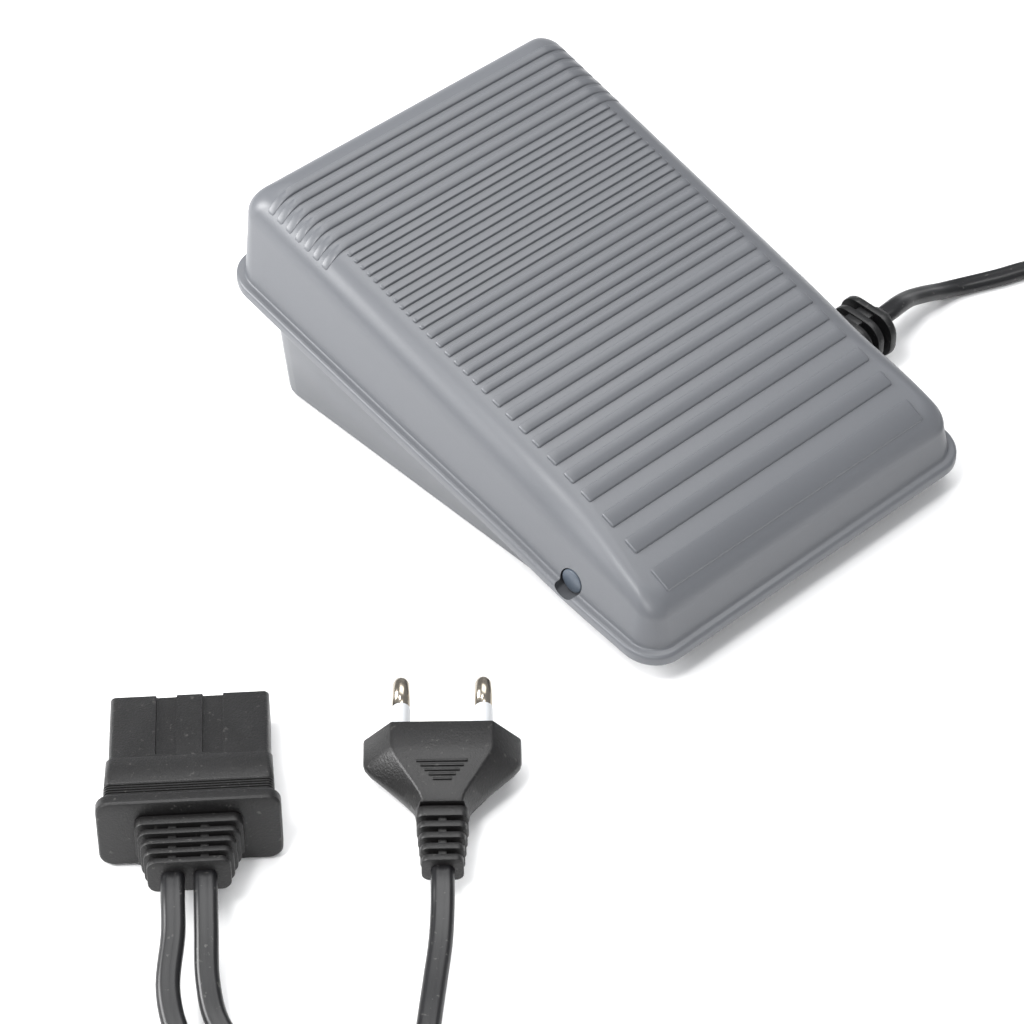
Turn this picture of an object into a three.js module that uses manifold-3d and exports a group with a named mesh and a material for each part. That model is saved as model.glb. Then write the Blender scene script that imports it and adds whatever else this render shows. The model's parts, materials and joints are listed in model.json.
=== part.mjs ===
// Foot pedal of a household sewing machine, with its machine connector and its mains plug.
// Millimetres, +Z up. The low, hinged end of the pedal is at -Y and the high, toe end at +Y.
// The origin is on the floor, under the middle of the pedal.

import * as THREE from 'three';
import { mergeVertices } from 'three/addons/utils/BufferGeometryUtils.js';
import Module from 'manifold-3d';

const wasm = await Module();
wasm.setup();

// ---------------------------------------------------------------- driving dimensions

// The pedal as a whole: the rim of the cover is its outline.
const length = 150;
const width = 109;
const topLowHeight = 19.4; // top face, carried on to the low end of the rim
const topHighHeight = 65.4; // the same at the high end
const rimLowHeight = 6.9; // lower edge of the rim at the low end
const rimHighHeight = 35.4; // and at the high end
const rimBow = 0.122; // share of the rim's rise that comes as a gentle curve
const topBendLength = 55; // from the low end, the stretch of the top face that curves down
const topBendRadius = 300;
const pivotFromLowEnd = 29;
const pivotHeight = 15.6;
const pressAngle = 0.08; // radians that the treadle turns when it is pressed right down
const gap = 0.3; // between pieces that touch
const runningGap = 0.5; // between pieces that move past each other

// The treadle cover's shell.
const coverWall = 2;
const coverCorner = 9;
const topCorner = 5; // least corner radius, in plan, where the fillet rolls over on to the top
const topInset = 3.7; // of the wall, at the top, from the rim's outline
const rimProjection = 2.3; // of the rim, past the foot of the wall
const rimThickness = 3;
const topFillet = 9.3; // along the sides and the high end
const topFilletLow = 4.6; // at the low end
const filletOpening = [8, 38]; // from the low end, the stretch where it opens from one to the other
const rimSag = 1; // the rim dips this much under the pivots
const rimSagSpan = 16;

// Ribs across the top, in groups from the high end down: pitch is each rib's step from the last.
const ribHeight = 0.6;
const ribEndMargin = 11.5; // from the cover's side to a rib's end
const wrapRibEndMargin = 6.5;
const ribFieldFromHighEnd = 10.7;
const ribFieldFromLowEnd = 6.8;
const ribGroups = [
  { count: 7, pitch: 3.2, rib: 2.0, wraps: true },
  { count: 12, pitch: 2.3, rib: 1.35 },
  { count: 7, pitch: 3.13, rib: 1.9 },
  { count: 4, pitch: 4.48, rib: 2.6 },
  { count: 3, pitch: 5.7, rib: 3.3 },
  { count: 2, pitch: 7.6, rib: 3.9 },
  { count: 1, pitch: 10.4, rib: 5.7 },
];

// The base tray.
const baseInset = 8.4; // of its floor, from the rim's outline
const baseDraft = 1 / 11.2; // the walls lean outwards by this much per millimetre, up to the rim
const lapLean = 0.15; // and inwards by this much behind it
const baseCorner = 8;
const baseWall = 2.2;
const baseFloor = 2.2;
const baseLap = 7; // the walls rise this far past the lower edge of the rim
const floorChamfer = 0.8;

const footRadius = 6;
const footHeight = 1.2; // below the tray
const footRecess = 0.8;
const footInsetX = 18;
const footInsetY = 21;

const pinRadius = 3.1;
const pinHoleRadius = 3.4;
const pinStemRadius = 2.5;
const lugBossRadius = 5;
const lugSize = 10;
const lugDepth = 6;

// Return spring and the two end stops.
const springFromHighEnd = 27;
const springRadius = 7;
const springWire = 0.7;
const springTurns = 9;
const stopFromHighEnd = 17;
const stopFromMiddle = 30;
const stopColumnRadius = 4;
const stopCapWall = 1.2;
const stopCapHeight = 6;
const stopBossRadius = 5;
const stopBossLength = 8;

// Speed control and its circuit board.
const boardHalfX = Math.min(26, width / 2 - 20.6); // it stays clear of the cord clamp's posts
const boardLow = -18;
const boardHigh = 34;
const boardThickness = 1.6;
const postHeight = 4.6;
const postRadius = 3;
const postInset = 4;
const plungerY = 20;
const plungerSide = 4.2;
const pusherRadius = 3;
const pusherLength = 10;
const controlHeight = 20;

// Strain relief and the flat twin cord.
const cordWidth = 5.2;
const cordThickness = 3.2;
const reliefY = -27.5;
const reliefHeight = 11.6;
const reliefHalfWidth = 8.7;
const reliefHalfHeight = 6.3;
const reliefReach = 17; // past the rim
const reliefRings = 4;
const tailLength = 11; // moulded tail inside the wall, which the clamp holds

// ---------------------------------------------------------------- shared shapes

const baseBottom = footHeight;
const floorTop = baseBottom + baseFloor;
const pivotY = -length / 2 + pivotFromLowEnd;
const bendDrop = topBendLength ** 2 / (2 * topBendRadius);
const topSlope = (topHighHeight - topLowHeight - bendDrop) / length;

// Height of the cover's top face at y.
function topAt(y) {
  const fromLow = y + length / 2;
  const bend = Math.max(0, topBendLength - fromLow) ** 2 / (2 * topBendRadius);
  return topLowHeight + bendDrop + topSlope * fromLow - bend;
}

// Height of the rim's lower edge at y.
function rimAt(y) {
  const share = (y + length / 2) / length;
  const rise = (rimHighHeight - rimLowHeight) * ((1 - rimBow) * share + rimBow * share * share);
  return rimLowHeight + rise - rimSag * Math.exp(-(((y - pivotY) / rimSagSpan) ** 2));
}

const undersideAt = (y) => topAt(y) - coverWall;
const dropAt = (y) => (y - pivotY) * Math.sin(pressAngle);

const materials = {
  coverPlastic: new THREE.MeshStandardMaterial({ color: 0x8e9095, roughness: 0.42, metalness: 0 }),
  basePlastic: new THREE.MeshStandardMaterial({ color: 0x85878c, roughness: 0.5, metalness: 0 }),
  blackPvc: new THREE.MeshStandardMaterial({ color: 0x2c2b2b, roughness: 0.55, metalness: 0 }),
  cordPvc: new THREE.MeshStandardMaterial({ color: 0x303033, roughness: 0.4, metalness: 0 }),
  rubber: new THREE.MeshStandardMaterial({ color: 0x1d1d1e, roughness: 0.85, metalness: 0 }),
  steel: new THREE.MeshStandardMaterial({ color: 0xb9bbbd, roughness: 0.3, metalness: 1 }),
  nickel: new THREE.MeshStandardMaterial({ color: 0xcfc7bb, roughness: 0.22, metalness: 1 }),
  brass: new THREE.MeshStandardMaterial({ color: 0xc79a4b, roughness: 0.35, metalness: 1 }),
  aluminium: new THREE.MeshStandardMaterial({ color: 0xb8bbbe, roughness: 0.4, metalness: 1 }),
  whitePlastic: new THREE.MeshStandardMaterial({ color: 0xe9e9ea, roughness: 0.45, metalness: 0 }),
  board: new THREE.MeshStandardMaterial({ color: 0xb88a4a, roughness: 0.6, metalness: 0 }),
  epoxy: new THREE.MeshStandardMaterial({ color: 0x1b1b1d, roughness: 0.5, metalness: 0 }),
  ferrite: new THREE.MeshStandardMaterial({ color: 0x3a3a3d, roughness: 0.7, metalness: 0 }),
  copper: new THREE.MeshStandardMaterial({ color: 0xb5652f, roughness: 0.35, metalness: 1 }),
  yellowFilm: new THREE.MeshStandardMaterial({ color: 0xc9a23a, roughness: 0.45, metalness: 0 }),
  ceramic: new THREE.MeshStandardMaterial({ color: 0xd9d6cc, roughness: 0.7, metalness: 0 }),
  bluePlastic: new THREE.MeshStandardMaterial({ color: 0x2c5f9e, roughness: 0.45, metalness: 0 }),
  greenPlastic: new THREE.MeshStandardMaterial({ color: 0x3f7d4c, roughness: 0.5, metalness: 0 }),
  brownWire: new THREE.MeshStandardMaterial({ color: 0x6b4226, roughness: 0.45, metalness: 0 }),
  blueWire: new THREE.MeshStandardMaterial({ color: 0x2f66b0, roughness: 0.45, metalness: 0 }),
};

const pedal = new THREE.Group();
pedal.name = 'sewing_machine_pedal';

// A closed geometry as a solid that can be cut and joined.
function toSolid(geometry) {
  const bare = geometry.clone();
  bare.deleteAttribute('normal');
  bare.deleteAttribute('uv');
  const merged = mergeVertices(bare, 1e-5);
  const source = merged.index.array;
  const triangles = [];
  for (let i = 0; i < source.length; i += 3) {
    const [a, b, c] = [source[i], source[i + 1], source[i + 2]];
    if (a !== b && b !== c && c !== a) triangles.push(a, b, c);
  }
  const vertProperties = new Float32Array(merged.attributes.position.array);
  return new wasm.Manifold(new wasm.Mesh({ numProp: 3, vertProperties, triVerts: new Uint32Array(triangles) }));
}

function toGeometry(solid) {
  const { vertProperties, triVerts } = solid.getMesh();
  const geometry = new THREE.BufferGeometry();
  geometry.setAttribute('position', new THREE.BufferAttribute(new Float32Array(vertProperties), 3));
  geometry.setIndex(new THREE.BufferAttribute(new Uint32Array(triVerts), 1));
  return geometry;
}

function addPiece(name, solid, material, parent = pedal) {
  const piece = new THREE.Mesh(toGeometry(solid), material);
  piece.name = name;
  parent.add(piece);
  return piece;
}

function box([x0, x1], [y0, y1], [z0, z1]) {
  const geometry = new THREE.BoxGeometry(x1 - x0, y1 - y0, z1 - z0);
  return toSolid(geometry.translate((x0 + x1) / 2, (y0 + y1) / 2, (z0 + z1) / 2));
}

// Turned piece on the vertical line through (x, y); the profile is [radius, height] pairs, from the
// bottom up on the outside.
function turned(profile, x, y, segments = 24) {
  const points = profile.map(([radius, height]) => new THREE.Vector2(radius, height));
  const geometry = new THREE.LatheGeometry(points, segments);
  return toSolid(geometry.rotateX(Math.PI / 2).translate(x, y, 0));
}

function rod(radius, bottom, top, x, y, segments = 24) {
  return turned([[0, bottom], [radius, bottom], [radius, top], [0, top]], x, y, segments);
}

// The same, lying along X from x0 to x1.
function crossRod(radius, x0, x1, y, z, segments = 24) {
  const geometry = new THREE.CylinderGeometry(radius, radius, x1 - x0, segments);
  return toSolid(geometry.rotateZ(-Math.PI / 2).translate((x0 + x1) / 2, y, z));
}

// And along Y from y0 to y1.
function lengthRod(radius, y0, y1, x, z, segments = 24) {
  const geometry = new THREE.CylinderGeometry(radius, radius, y1 - y0, segments);
  return toSolid(geometry.translate(x, (y0 + y1) / 2, z));
}

// Right half of a rounded rectangle, from its -y side to its +y side, with the outward normals.
function halfOutline(halfX, halfY, radius, arcSteps = 5, sideSteps = 1) {
  const points = [];
  const corner = (centreY, from) => {
    for (let i = 0; i <= arcSteps; i++) {
      const angle = from + (Math.PI / 2) * (i / arcSteps);
      const [nx, ny] = [Math.cos(angle), Math.sin(angle)];
      points.push({ x: halfX - radius + radius * nx, y: centreY + radius * ny, nx, ny });
    }
  };
  corner(radius - halfY, -Math.PI / 2);
  for (let i = 1; i < sideSteps; i++) {
    points.push({ x: halfX, y: (radius - halfY) * (1 - (2 * i) / sideSteps), nx: 1, ny: 0 });
  }
  corner(halfY - radius, 0);
  return points;
}

// One closed ring: the half outline moved out by offset, and mirrored; height is z as a function of y.
function ring(outline, offset, height) {
  const right = outline.map(({ x, y, nx, ny }) => {
    const out = typeof offset === 'function' ? offset(y) : offset;
    const at = y + ny * out;
    return new THREE.Vector3(x + nx * out, at, typeof height === 'function' ? height(at) : height);
  });
  const left = right.map((p) => new THREE.Vector3(-p.x, p.y, p.z)).reverse();
  return [...right, ...left];
}

// Skin over a stack of rings with the same number of points, closed by a cap on the first and the last.
function lofted(rings) {
  const count = rings[0].length;
  const index = [];
  for (let r = 0; r + 1 < rings.length; r++) {
    for (let i = 0; i < count; i++) {
      const [a, b] = [r * count + i, r * count + ((i + 1) % count)];
      index.push(a, b, b + count, a, b + count, a + count);
    }
  }
  const last = (rings.length - 1) * count;
  for (let i = 0; i + 1 < count / 2; i++) {
    const [a, b, c, d] = [i, i + 1, count - 2 - i, count - 1 - i];
    index.push(a, c, b, a, d, c);
    index.push(last + a, last + b, last + c, last + a, last + c, last + d);
  }
  const geometry = new THREE.BufferGeometry();
  const positions = rings.flat().flatMap((p) => [p.x, p.y, p.z]);
  geometry.setAttribute('position', new THREE.Float32BufferAttribute(positions, 3));
  geometry.setIndex(index);
  const corner = (i) => new THREE.Vector3().fromArray(positions, 3 * i);
  let volume = 0;
  for (let i = 0; i < index.length; i += 3) {
    volume += corner(index[i]).dot(corner(index[i + 1]).cross(corner(index[i + 2])));
  }
  if (volume < 0) geometry.setIndex(index.reverse());
  return toSolid(geometry);
}

// Straight stack of rounded rectangles along Z: each section is [z, half width, half thickness, corner].
function stacked(sections, arcSteps = 3) {
  return lofted(sections.map(([z, halfX, halfY, radius]) => ring(halfOutline(halfX, halfY, radius, arcSteps), 0, z)));
}

// Oval section for a flat cord: the thickness is upright where the path lies flat.
function ovalShape(thickness, breadth, sides) {
  const points = [];
  for (let i = 0; i < sides; i++) {
    const angle = (2 * Math.PI * (i + 0.5)) / sides;
    points.push(new THREE.Vector2((thickness / 2) * Math.cos(angle), (breadth / 2) * Math.sin(angle)));
  }
  return new THREE.Shape(points);
}

function tubeAlong(curve, shape, steps) {
  return toSolid(new THREE.ExtrudeGeometry(shape, { extrudePath: curve, steps, bevelEnabled: false }));
}

const smoothCurve = (points) => new THREE.CatmullRomCurve3(points.map((p) => new THREE.Vector3(...p)), false, 'centripetal');

// ---------------------------------------------------------------- treadle cover

// How far the top fillet has opened at y: 0 at the low end, 1 along the rest.
function openingAt(y) {
  const [from, to] = filletOpening;
  const share = Math.min(Math.max((y + length / 2 - from) / (to - from), 0), 1);
  return share * share * (3 - 2 * share);
}

const filletAt = (y) => topFilletLow + (topFillet - topFilletLow) * openingAt(y);

// Closed ring round the cover, at an inset from the rim's outline; lowInset is the inset at the low end.
function coverRing(inset, height, lowInset = inset) {
  const inward = (by) => halfOutline(width / 2 - by, length / 2 - by, Math.max(coverCorner - by, topCorner), 5, 10);
  const low = inward(lowInset);
  const outline = inward(inset).map(({ x, y }, i) => {
    const share = openingAt(low[i].y);
    return { x: low[i].x + (x - low[i].x) * share, y: low[i].y + (y - low[i].y) * share, nx: 0, ny: 0 };
  });
  return ring(outline, 0, height);
}

function coverShell() {
  const rings = [];
  const filletSteps = 4;
  for (let i = filletSteps; i >= 0; i--) {
    const angle = (Math.PI / 2) * (i / filletSteps);
    const [across, down] = [1 - Math.cos(angle), 1 - Math.sin(angle)];
    rings.push(coverRing(topInset + topFillet * across, (y) => topAt(y) - filletAt(y) * down, topInset + topFilletLow * across));
  }
  const rimSteps = [
    [rimProjection, rimThickness + 0.5],
    [rimProjection - 0.8, rimThickness],
    [0, rimThickness - 0.9],
    [0, 0.8],
    [0.6, 0],
  ];
  for (const [inset, rise] of rimSteps) rings.push(coverRing(inset, (y) => rimAt(y) + rise));
  rings.push(coverRing(rimProjection + coverWall, rimAt));
  const inner = topInset + coverWall;
  for (let i = 0; i <= filletSteps; i++) {
    const angle = (Math.PI / 2) * (i / filletSteps);
    const [across, down] = [1 - Math.cos(angle), 1 - Math.sin(angle)];
    rings.push(coverRing(
      inner + (topFillet - coverWall) * across,
      (y) => undersideAt(y) - (filletAt(y) - coverWall) * down,
      inner + (topFilletLow - coverWall) * across,
    ));
  }
  return lofted(rings);
}

// Low and high edge, half length and kind of each raised rib across the top.
function ribPlaces() {
  const high = length / 2 - ribFieldFromHighEnd;
  const field = length - ribFieldFromHighEnd - ribFieldFromLowEnd;
  const drawn = ribGroups.reduce((sum, group) => sum + group.count * group.pitch, 0);
  const stretch = field / drawn;
  const places = [];
  let low = high;
  for (const group of ribGroups) {
    const halfLength = width / 2 - (group.wraps ? wrapRibEndMargin : ribEndMargin);
    for (let i = 0; i < group.count; i++) {
      low -= group.pitch * stretch;
      places.push({ low, high: low + group.rib * stretch, halfLength });
    }
  }
  return places;
}

// A rib follows the skin under it, and over the rounded side edge where it reaches that far.
function topRib({ low, high, halfLength }) {
  const root = 0.4;
  const draft = 0.15;
  const radius = filletAt((low + high) / 2);
  const flatHalf = width / 2 - topInset - radius;
  const dropBy = (past) => radius - Math.sqrt(radius ** 2 - Math.max(0, past) ** 2);
  const heightAt = (x, y) => topAt(y) - dropBy(Math.abs(x) - flatHalf) - dropBy(Math.abs(y) - length / 2 + topInset + radius);
  const over = halfLength - flatHalf;
  const steps = [-halfLength, -halfLength + over / 3, -halfLength + (2 * over) / 3, -flatHalf];
  const stations = over > 0 ? [...steps, ...steps.map((x) => -x).reverse()] : [-halfLength, halfLength];
  const rings = stations.map((x) => [
    new THREE.Vector3(x, low, heightAt(x, low) - root),
    new THREE.Vector3(x, high, heightAt(x, high) - root),
    new THREE.Vector3(x, high - draft, heightAt(x, high) + ribHeight),
    new THREE.Vector3(x, low + draft, heightAt(x, low) + ribHeight),
  ]);
  return lofted(rings);
}

const springY = length / 2 - springFromHighEnd;
const springSeatRadius = springRadius + springWire + 1.5;
const springTop = undersideAt(springY - springSeatRadius) - 1;
const stopY = length / 2 - stopFromHighEnd;
const stopBossBottom = undersideAt(stopY) - stopBossLength;
const plungerTop = undersideAt(plungerY) - pusherLength;
const reliefNotchHalf = reliefHalfWidth + 1.8;

function treadleCover() {
  let cover = coverShell();
  for (const place of ribPlaces()) cover = cover.add(topRib(place));
  const root = coverWall / 2;
  const bosses = [
    rod(springSeatRadius, springTop, undersideAt(springY - springSeatRadius) + root, 0, springY),
    rod(pusherRadius, plungerTop + runningGap, undersideAt(plungerY) + root, 0, plungerY, 16),
    rod(stopBossRadius, stopBossBottom, undersideAt(stopY) + root, stopFromMiddle, stopY, 16),
    rod(stopBossRadius, stopBossBottom, undersideAt(stopY) + root, -stopFromMiddle, stopY, 16),
  ];
  for (const boss of bosses) cover = cover.add(boss);
  for (const side of [-1, 1]) {
    const middle = side * (width / 2 - 3);
    cover = cover.subtract(crossRod(pinHoleRadius, middle - 6, middle + 6, pivotY, pivotHeight));
  }
  const notchTop = reliefHeight + reliefHalfHeight + 2.7;
  return cover.subtract(box(
    [width / 2 - 8, width / 2 + 2],
    [reliefY - reliefNotchHalf, reliefY + reliefNotchHalf],
    [rimLowHeight - 5, notchTop],
  ));
}

addPiece('treadle_cover', treadleCover(), materials.coverPlastic);

// ---------------------------------------------------------------- base tray

const baseHalfX = width / 2 - baseInset;
const baseHalfY = length / 2 - baseInset;
const baseOutline = halfOutline(baseHalfX, baseHalfY, baseCorner, 5, 10);
const baseTopAt = (y) => rimAt(y) + baseLap;
const leanTo = (y, z) => baseDraft * (Math.min(z, rimAt(y)) - baseBottom) - lapLean * Math.max(0, z - rimAt(y));
const wallXAt = (y, z) => baseHalfX + leanTo(y, z); // outer face of a side wall
const lugBossEnd = width / 2 - topInset - coverWall - runningGap;
const lugTop = pivotHeight + lugBossRadius + 0.6;
const lugInner = wallXAt(pivotY, pivotHeight) - lugDepth;
const reliefWallX = wallXAt(reliefY, reliefHeight);
const reliefNeckHalfWidth = reliefHalfWidth - 2;
const reliefNeckHalfHeight = reliefHalfHeight - 1.5;
const clampX = reliefWallX - baseWall - tailLength / 2 - 1.5;
const clampHalfX = 3.5;
const clampHalfY = 11;
const clampScrewY = 8;
const clampPostTop = reliefHeight + cordThickness / 2;
const feetPlaces = [-1, 1].flatMap((sx) => [-1, 1].map((sy) => [sx * (width / 2 - footInsetX), sy * (length / 2 - footInsetY)]));
const postPlaces = [-1, 1].flatMap((sx) => [boardLow + postInset, boardHigh - postInset].map((y) => [sx * (boardHalfX - postInset), y]));
const stopCapTop = stopBossBottom - dropAt(stopY) - 0.6;
const stopCapRadius = stopColumnRadius + gap + stopCapWall;
const stopColumnTop = stopCapTop - 2 - gap;

function trayShell() {
  const wallTop = (y) => leanTo(y, baseTopAt(y));
  const atRim = (y) => leanTo(y, rimAt(y));
  return lofted([
    ring(baseOutline, (y) => wallTop(y) - baseWall, baseTopAt),
    ring(baseOutline, (y) => atRim(y) - baseWall, rimAt),
    ring(baseOutline, -baseWall, floorTop),
  ].reverse().concat([
    ring(baseOutline, wallTop, baseTopAt),
    ring(baseOutline, atRim, rimAt),
    ring(baseOutline, 0, baseBottom + floorChamfer),
    ring(baseOutline, -floorChamfer, baseBottom),
  ]));
}

function baseTray() {
  let tray = trayShell();
  const floorRoot = floorTop - 1;
  for (const [x, y] of postPlaces) {
    tray = tray.add(rod(postRadius, floorRoot, floorTop + postHeight, x, y, 16));
  }
  for (const side of [-1, 1]) {
    const [inner, outer] = [side * lugInner, side * (wallXAt(pivotY, lugTop) - 0.2)].sort((a, b) => a - b);
    tray = tray.add(box([inner, outer], [pivotY - lugSize / 2, pivotY + lugSize / 2], [floorRoot, lugTop]));
    const [bossIn, bossOut] = [side * (baseHalfX - 0.5), side * lugBossEnd].sort((a, b) => a - b);
    tray = tray.add(crossRod(lugBossRadius, bossIn, bossOut, pivotY, pivotHeight));
    const [boreIn, boreOut] = [side * (lugInner - 1), side * (lugBossEnd + 1)].sort((a, b) => a - b);
    tray = tray.subtract(crossRod(pinStemRadius + gap, boreIn, boreOut, pivotY, pivotHeight));
    tray = tray.add(rod(stopColumnRadius, floorRoot, stopColumnTop, side * stopFromMiddle, stopY, 16));
    const clampPost = [reliefY + side * clampScrewY - 3, reliefY + side * clampScrewY + 3];
    tray = tray.add(box([clampX - clampHalfX, clampX + clampHalfX], clampPost, [floorRoot, clampPostTop]));
  }
  tray = tray.add(turned([
    [springRadius + 1.6, floorRoot],
    [springRadius + 3.2, floorRoot],
    [springRadius + 3.2, floorTop + 3],
    [springRadius + 1.6, floorTop + 3],
    [springRadius + 1.6, floorRoot],
  ], 0, springY, 32));
  tray = tray.add(rod(springRadius - springWire - 1.3, floorRoot, floorTop + 7, 0, springY, 20));
  for (const [x, y] of feetPlaces) {
    tray = tray.subtract(rod(footRadius + gap, baseBottom - 1, baseBottom + footRecess, x, y));
  }
  for (const [x, y] of [postPlaces[0], postPlaces[3]]) {
    tray = tray.subtract(rod(1.5, floorTop + 0.6, floorTop + postHeight + 1, x, y, 12));
  }
  for (const side of [-1, 1]) {
    tray = tray.subtract(rod(1.5, floorTop + 0.6, clampPostTop + 1, clampX, reliefY + side * clampScrewY, 12));
  }
  const slotHalf = reliefNeckHalfWidth + gap;
  const slotBottom = reliefHeight - reliefNeckHalfHeight - gap;
  return tray.subtract(box(
    [reliefWallX - baseWall - 3, reliefWallX + 3],
    [reliefY - slotHalf, reliefY + slotHalf],
    [slotBottom, baseTopAt(reliefY) + baseLap],
  ));
}

addPiece('base_tray', baseTray(), materials.basePlastic);

feetPlaces.forEach(([x, y], i) => {
  const top = baseBottom + footRecess - gap;
  addPiece(`rubber_foot_${i + 1}`, turned([
    [0, 0], [footRadius - 0.6, 0], [footRadius, 0.5], [footRadius, top], [0, top],
  ], x, y), materials.rubber);
});

// Each pivot pin is pushed in through the hole in the cover, and its stem sits in the tray's lug.
for (const [name, side] of [['pivot_pin_left', -1], ['pivot_pin_right', 1]]) {
  const headEnd = width / 2 - rimProjection - 0.3;
  const [headIn, headOut] = [side * (lugBossEnd + gap), side * headEnd].sort((a, b) => a - b);
  const [stemIn, stemOut] = [side * (lugInner + 1), side * (lugBossEnd + gap + 0.2)].sort((a, b) => a - b);
  const head = crossRod(pinRadius, headIn, headOut, pivotY, pivotHeight);
  const stem = crossRod(pinStemRadius, stemIn, stemOut, pivotY, pivotHeight);
  addPiece(name, head.add(stem), materials.basePlastic);
}

// ---------------------------------------------------------------- return spring and end stops

class Helix extends THREE.Curve {
  constructor(radius, bottom, top, turns, x, y) {
    super();
    Object.assign(this, { radius, bottom, top, turns, x, y });
  }
  getPoint(t, target = new THREE.Vector3()) {
    const angle = 2 * Math.PI * this.turns * t;
    const z = this.bottom + (this.top - this.bottom) * t;
    return target.set(this.x + this.radius * Math.cos(angle), this.y + this.radius * Math.sin(angle), z);
  }
}

const springBottom = floorTop + gap;
const springCurve = new Helix(springRadius, springBottom + springWire, springTop - gap - springWire, springTurns, 0, springY);
const springSection = ovalShape(2 * springWire, 2 * springWire, 5);
addPiece('return_spring', tubeAlong(springCurve, springSection, springTurns * 12), materials.steel);

for (const [name, side] of [['stop_bumper_left', -1], ['stop_bumper_right', 1]]) {
  const outer = rod(stopCapRadius, stopCapTop - stopCapHeight, stopCapTop, side * stopFromMiddle, stopY, 20);
  const bore = rod(stopColumnRadius + gap, stopCapTop - stopCapHeight - 1, stopCapTop - 2, side * stopFromMiddle, stopY, 20);
  addPiece(name, outer.subtract(bore), materials.rubber);
}

// ---------------------------------------------------------------- circuit board and speed control

const boardBottom = floorTop + postHeight + gap;
const boardTop = boardBottom + boardThickness;
const onBoard = boardTop + gap;

function circuitBoard() {
  let board = box([-boardHalfX, boardHalfX], [boardLow, boardHigh], [boardBottom, boardTop]);
  for (const [x, y] of [postPlaces[0], postPlaces[3]]) {
    board = board.subtract(rod(1.7, boardBottom - 1, boardTop + 1, x, y, 12));
  }
  return board;
}
addPiece('circuit_board', circuitBoard(), materials.board);

// Pan-head screw with a cross slot; the shank goes down into a post.
function screw(x, y, seat, tip, headRadius = 2.8) {
  const head = turned([
    [0, tip], [0.6, tip], [1.2, tip + 1], [1.2, seat], [headRadius, seat],
    [headRadius, seat + 1], [headRadius - 1, seat + 1.9], [0, seat + 2.1],
  ], x, y, 16);
  const slotDepth = [seat + 1, seat + 3];
  const slot = box([x - 1.7, x + 1.7], [y - 0.35, y + 0.35], slotDepth);
  const cross = box([x - 0.35, x + 0.35], [y - 1.7, y + 1.7], slotDepth);
  return head.subtract(slot).subtract(cross);
}

[postPlaces[0], postPlaces[3]].forEach(([x, y], i) => {
  addPiece(`board_screw_${i + 1}`, screw(x, y, onBoard, floorTop + 1.2), materials.steel);
});

// The speed control is a block with an upright channel. The plunger slides in it, and the pusher under
// the cover bears on the plunger's head.
const controlTop = Math.min(onBoard + controlHeight, plungerTop - 2.5 - dropAt(plungerY) - 0.2);
const channelHalf = plungerSide / 2 + gap;
const controlHalfX = 8;
const controlHalfY = 7;
const channelBottom = onBoard + 1;
const plungerBottom = channelBottom + dropAt(plungerY) + 0.3;

addPiece('speed_control_housing', box(
  [-controlHalfX, controlHalfX],
  [plungerY - controlHalfY, plungerY + controlHalfY],
  [onBoard, controlTop],
).subtract(box(
  [-channelHalf, channelHalf],
  [plungerY - channelHalf, plungerY + channelHalf],
  [channelBottom, controlTop + 1],
)), materials.epoxy);

addPiece('control_plunger', box(
  [-plungerSide / 2, plungerSide / 2],
  [plungerY - plungerSide / 2, plungerY + plungerSide / 2],
  [plungerBottom, plungerTop - 1],
).add(rod(4.5, plungerTop - 2.5, plungerTop, 0, plungerY)), materials.whitePlastic);

// Triac on its heat sink, held by a screw and a nut.
const sinkY = [-15.2, -13.2];
const sinkX = [-15, Math.min(9, width / 2 - 45)];
const sinkHeight = 17;
const triacX = -3;
const tabScrewZ = onBoard + 13.5;
const tabY = [sinkY[1] + gap, sinkY[1] + gap + 1.3];

addPiece('heat_sink', box(sinkX, sinkY, [onBoard, onBoard + sinkHeight])
  .subtract(lengthRod(1.8, sinkY[0] - 1, sinkY[1] + 1, triacX, tabScrewZ, 16)), materials.aluminium);

function triac() {
  let body = box([triacX - 5, triacX + 5], tabY, [onBoard + 3.3, onBoard + 17])
    .add(box([triacX - 5, triacX + 5], [tabY[0], tabY[0] + 4.4], [onBoard + 3.3, onBoard + 10]));
  for (const leg of [-2.54, 0, 2.54]) {
    body = body.add(box([triacX + leg - 0.4, triacX + leg + 0.4], [tabY[0] + 1.6, tabY[0] + 2.2], [onBoard, onBoard + 4]));
  }
  return body.subtract(lengthRod(1.8, tabY[0] - 1, tabY[1] + 1, triacX, tabScrewZ, 16));
}
addPiece('triac', triac(), materials.epoxy);
addPiece('triac_screw', lengthRod(1.4, sinkY[0] - 3.4, tabY[1] + gap + 0.2, triacX, tabScrewZ, 12)
  .add(lengthRod(2.7, tabY[1] + gap, tabY[1] + gap + 2, triacX, tabScrewZ, 16)), materials.steel);
addPiece('triac_nut', lengthRod(3, sinkY[0] - gap - 2.2, sinkY[0] - gap, triacX, tabScrewZ, 6)
  .subtract(lengthRod(1.4 + gap, sinkY[0] - 5, sinkY[0], triacX, tabScrewZ, 12)), materials.steel);

// Suppression parts on the board.
const capacitor = stacked([
  [onBoard, 5, 7, 1], [onBoard + 11, 5, 7, 1], [onBoard + 11.8, 4.4, 6.4, 0.8],
], 2);
addPiece('film_capacitor', capacitor.translate([18, 3, 0]), materials.yellowFilm);

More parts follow.
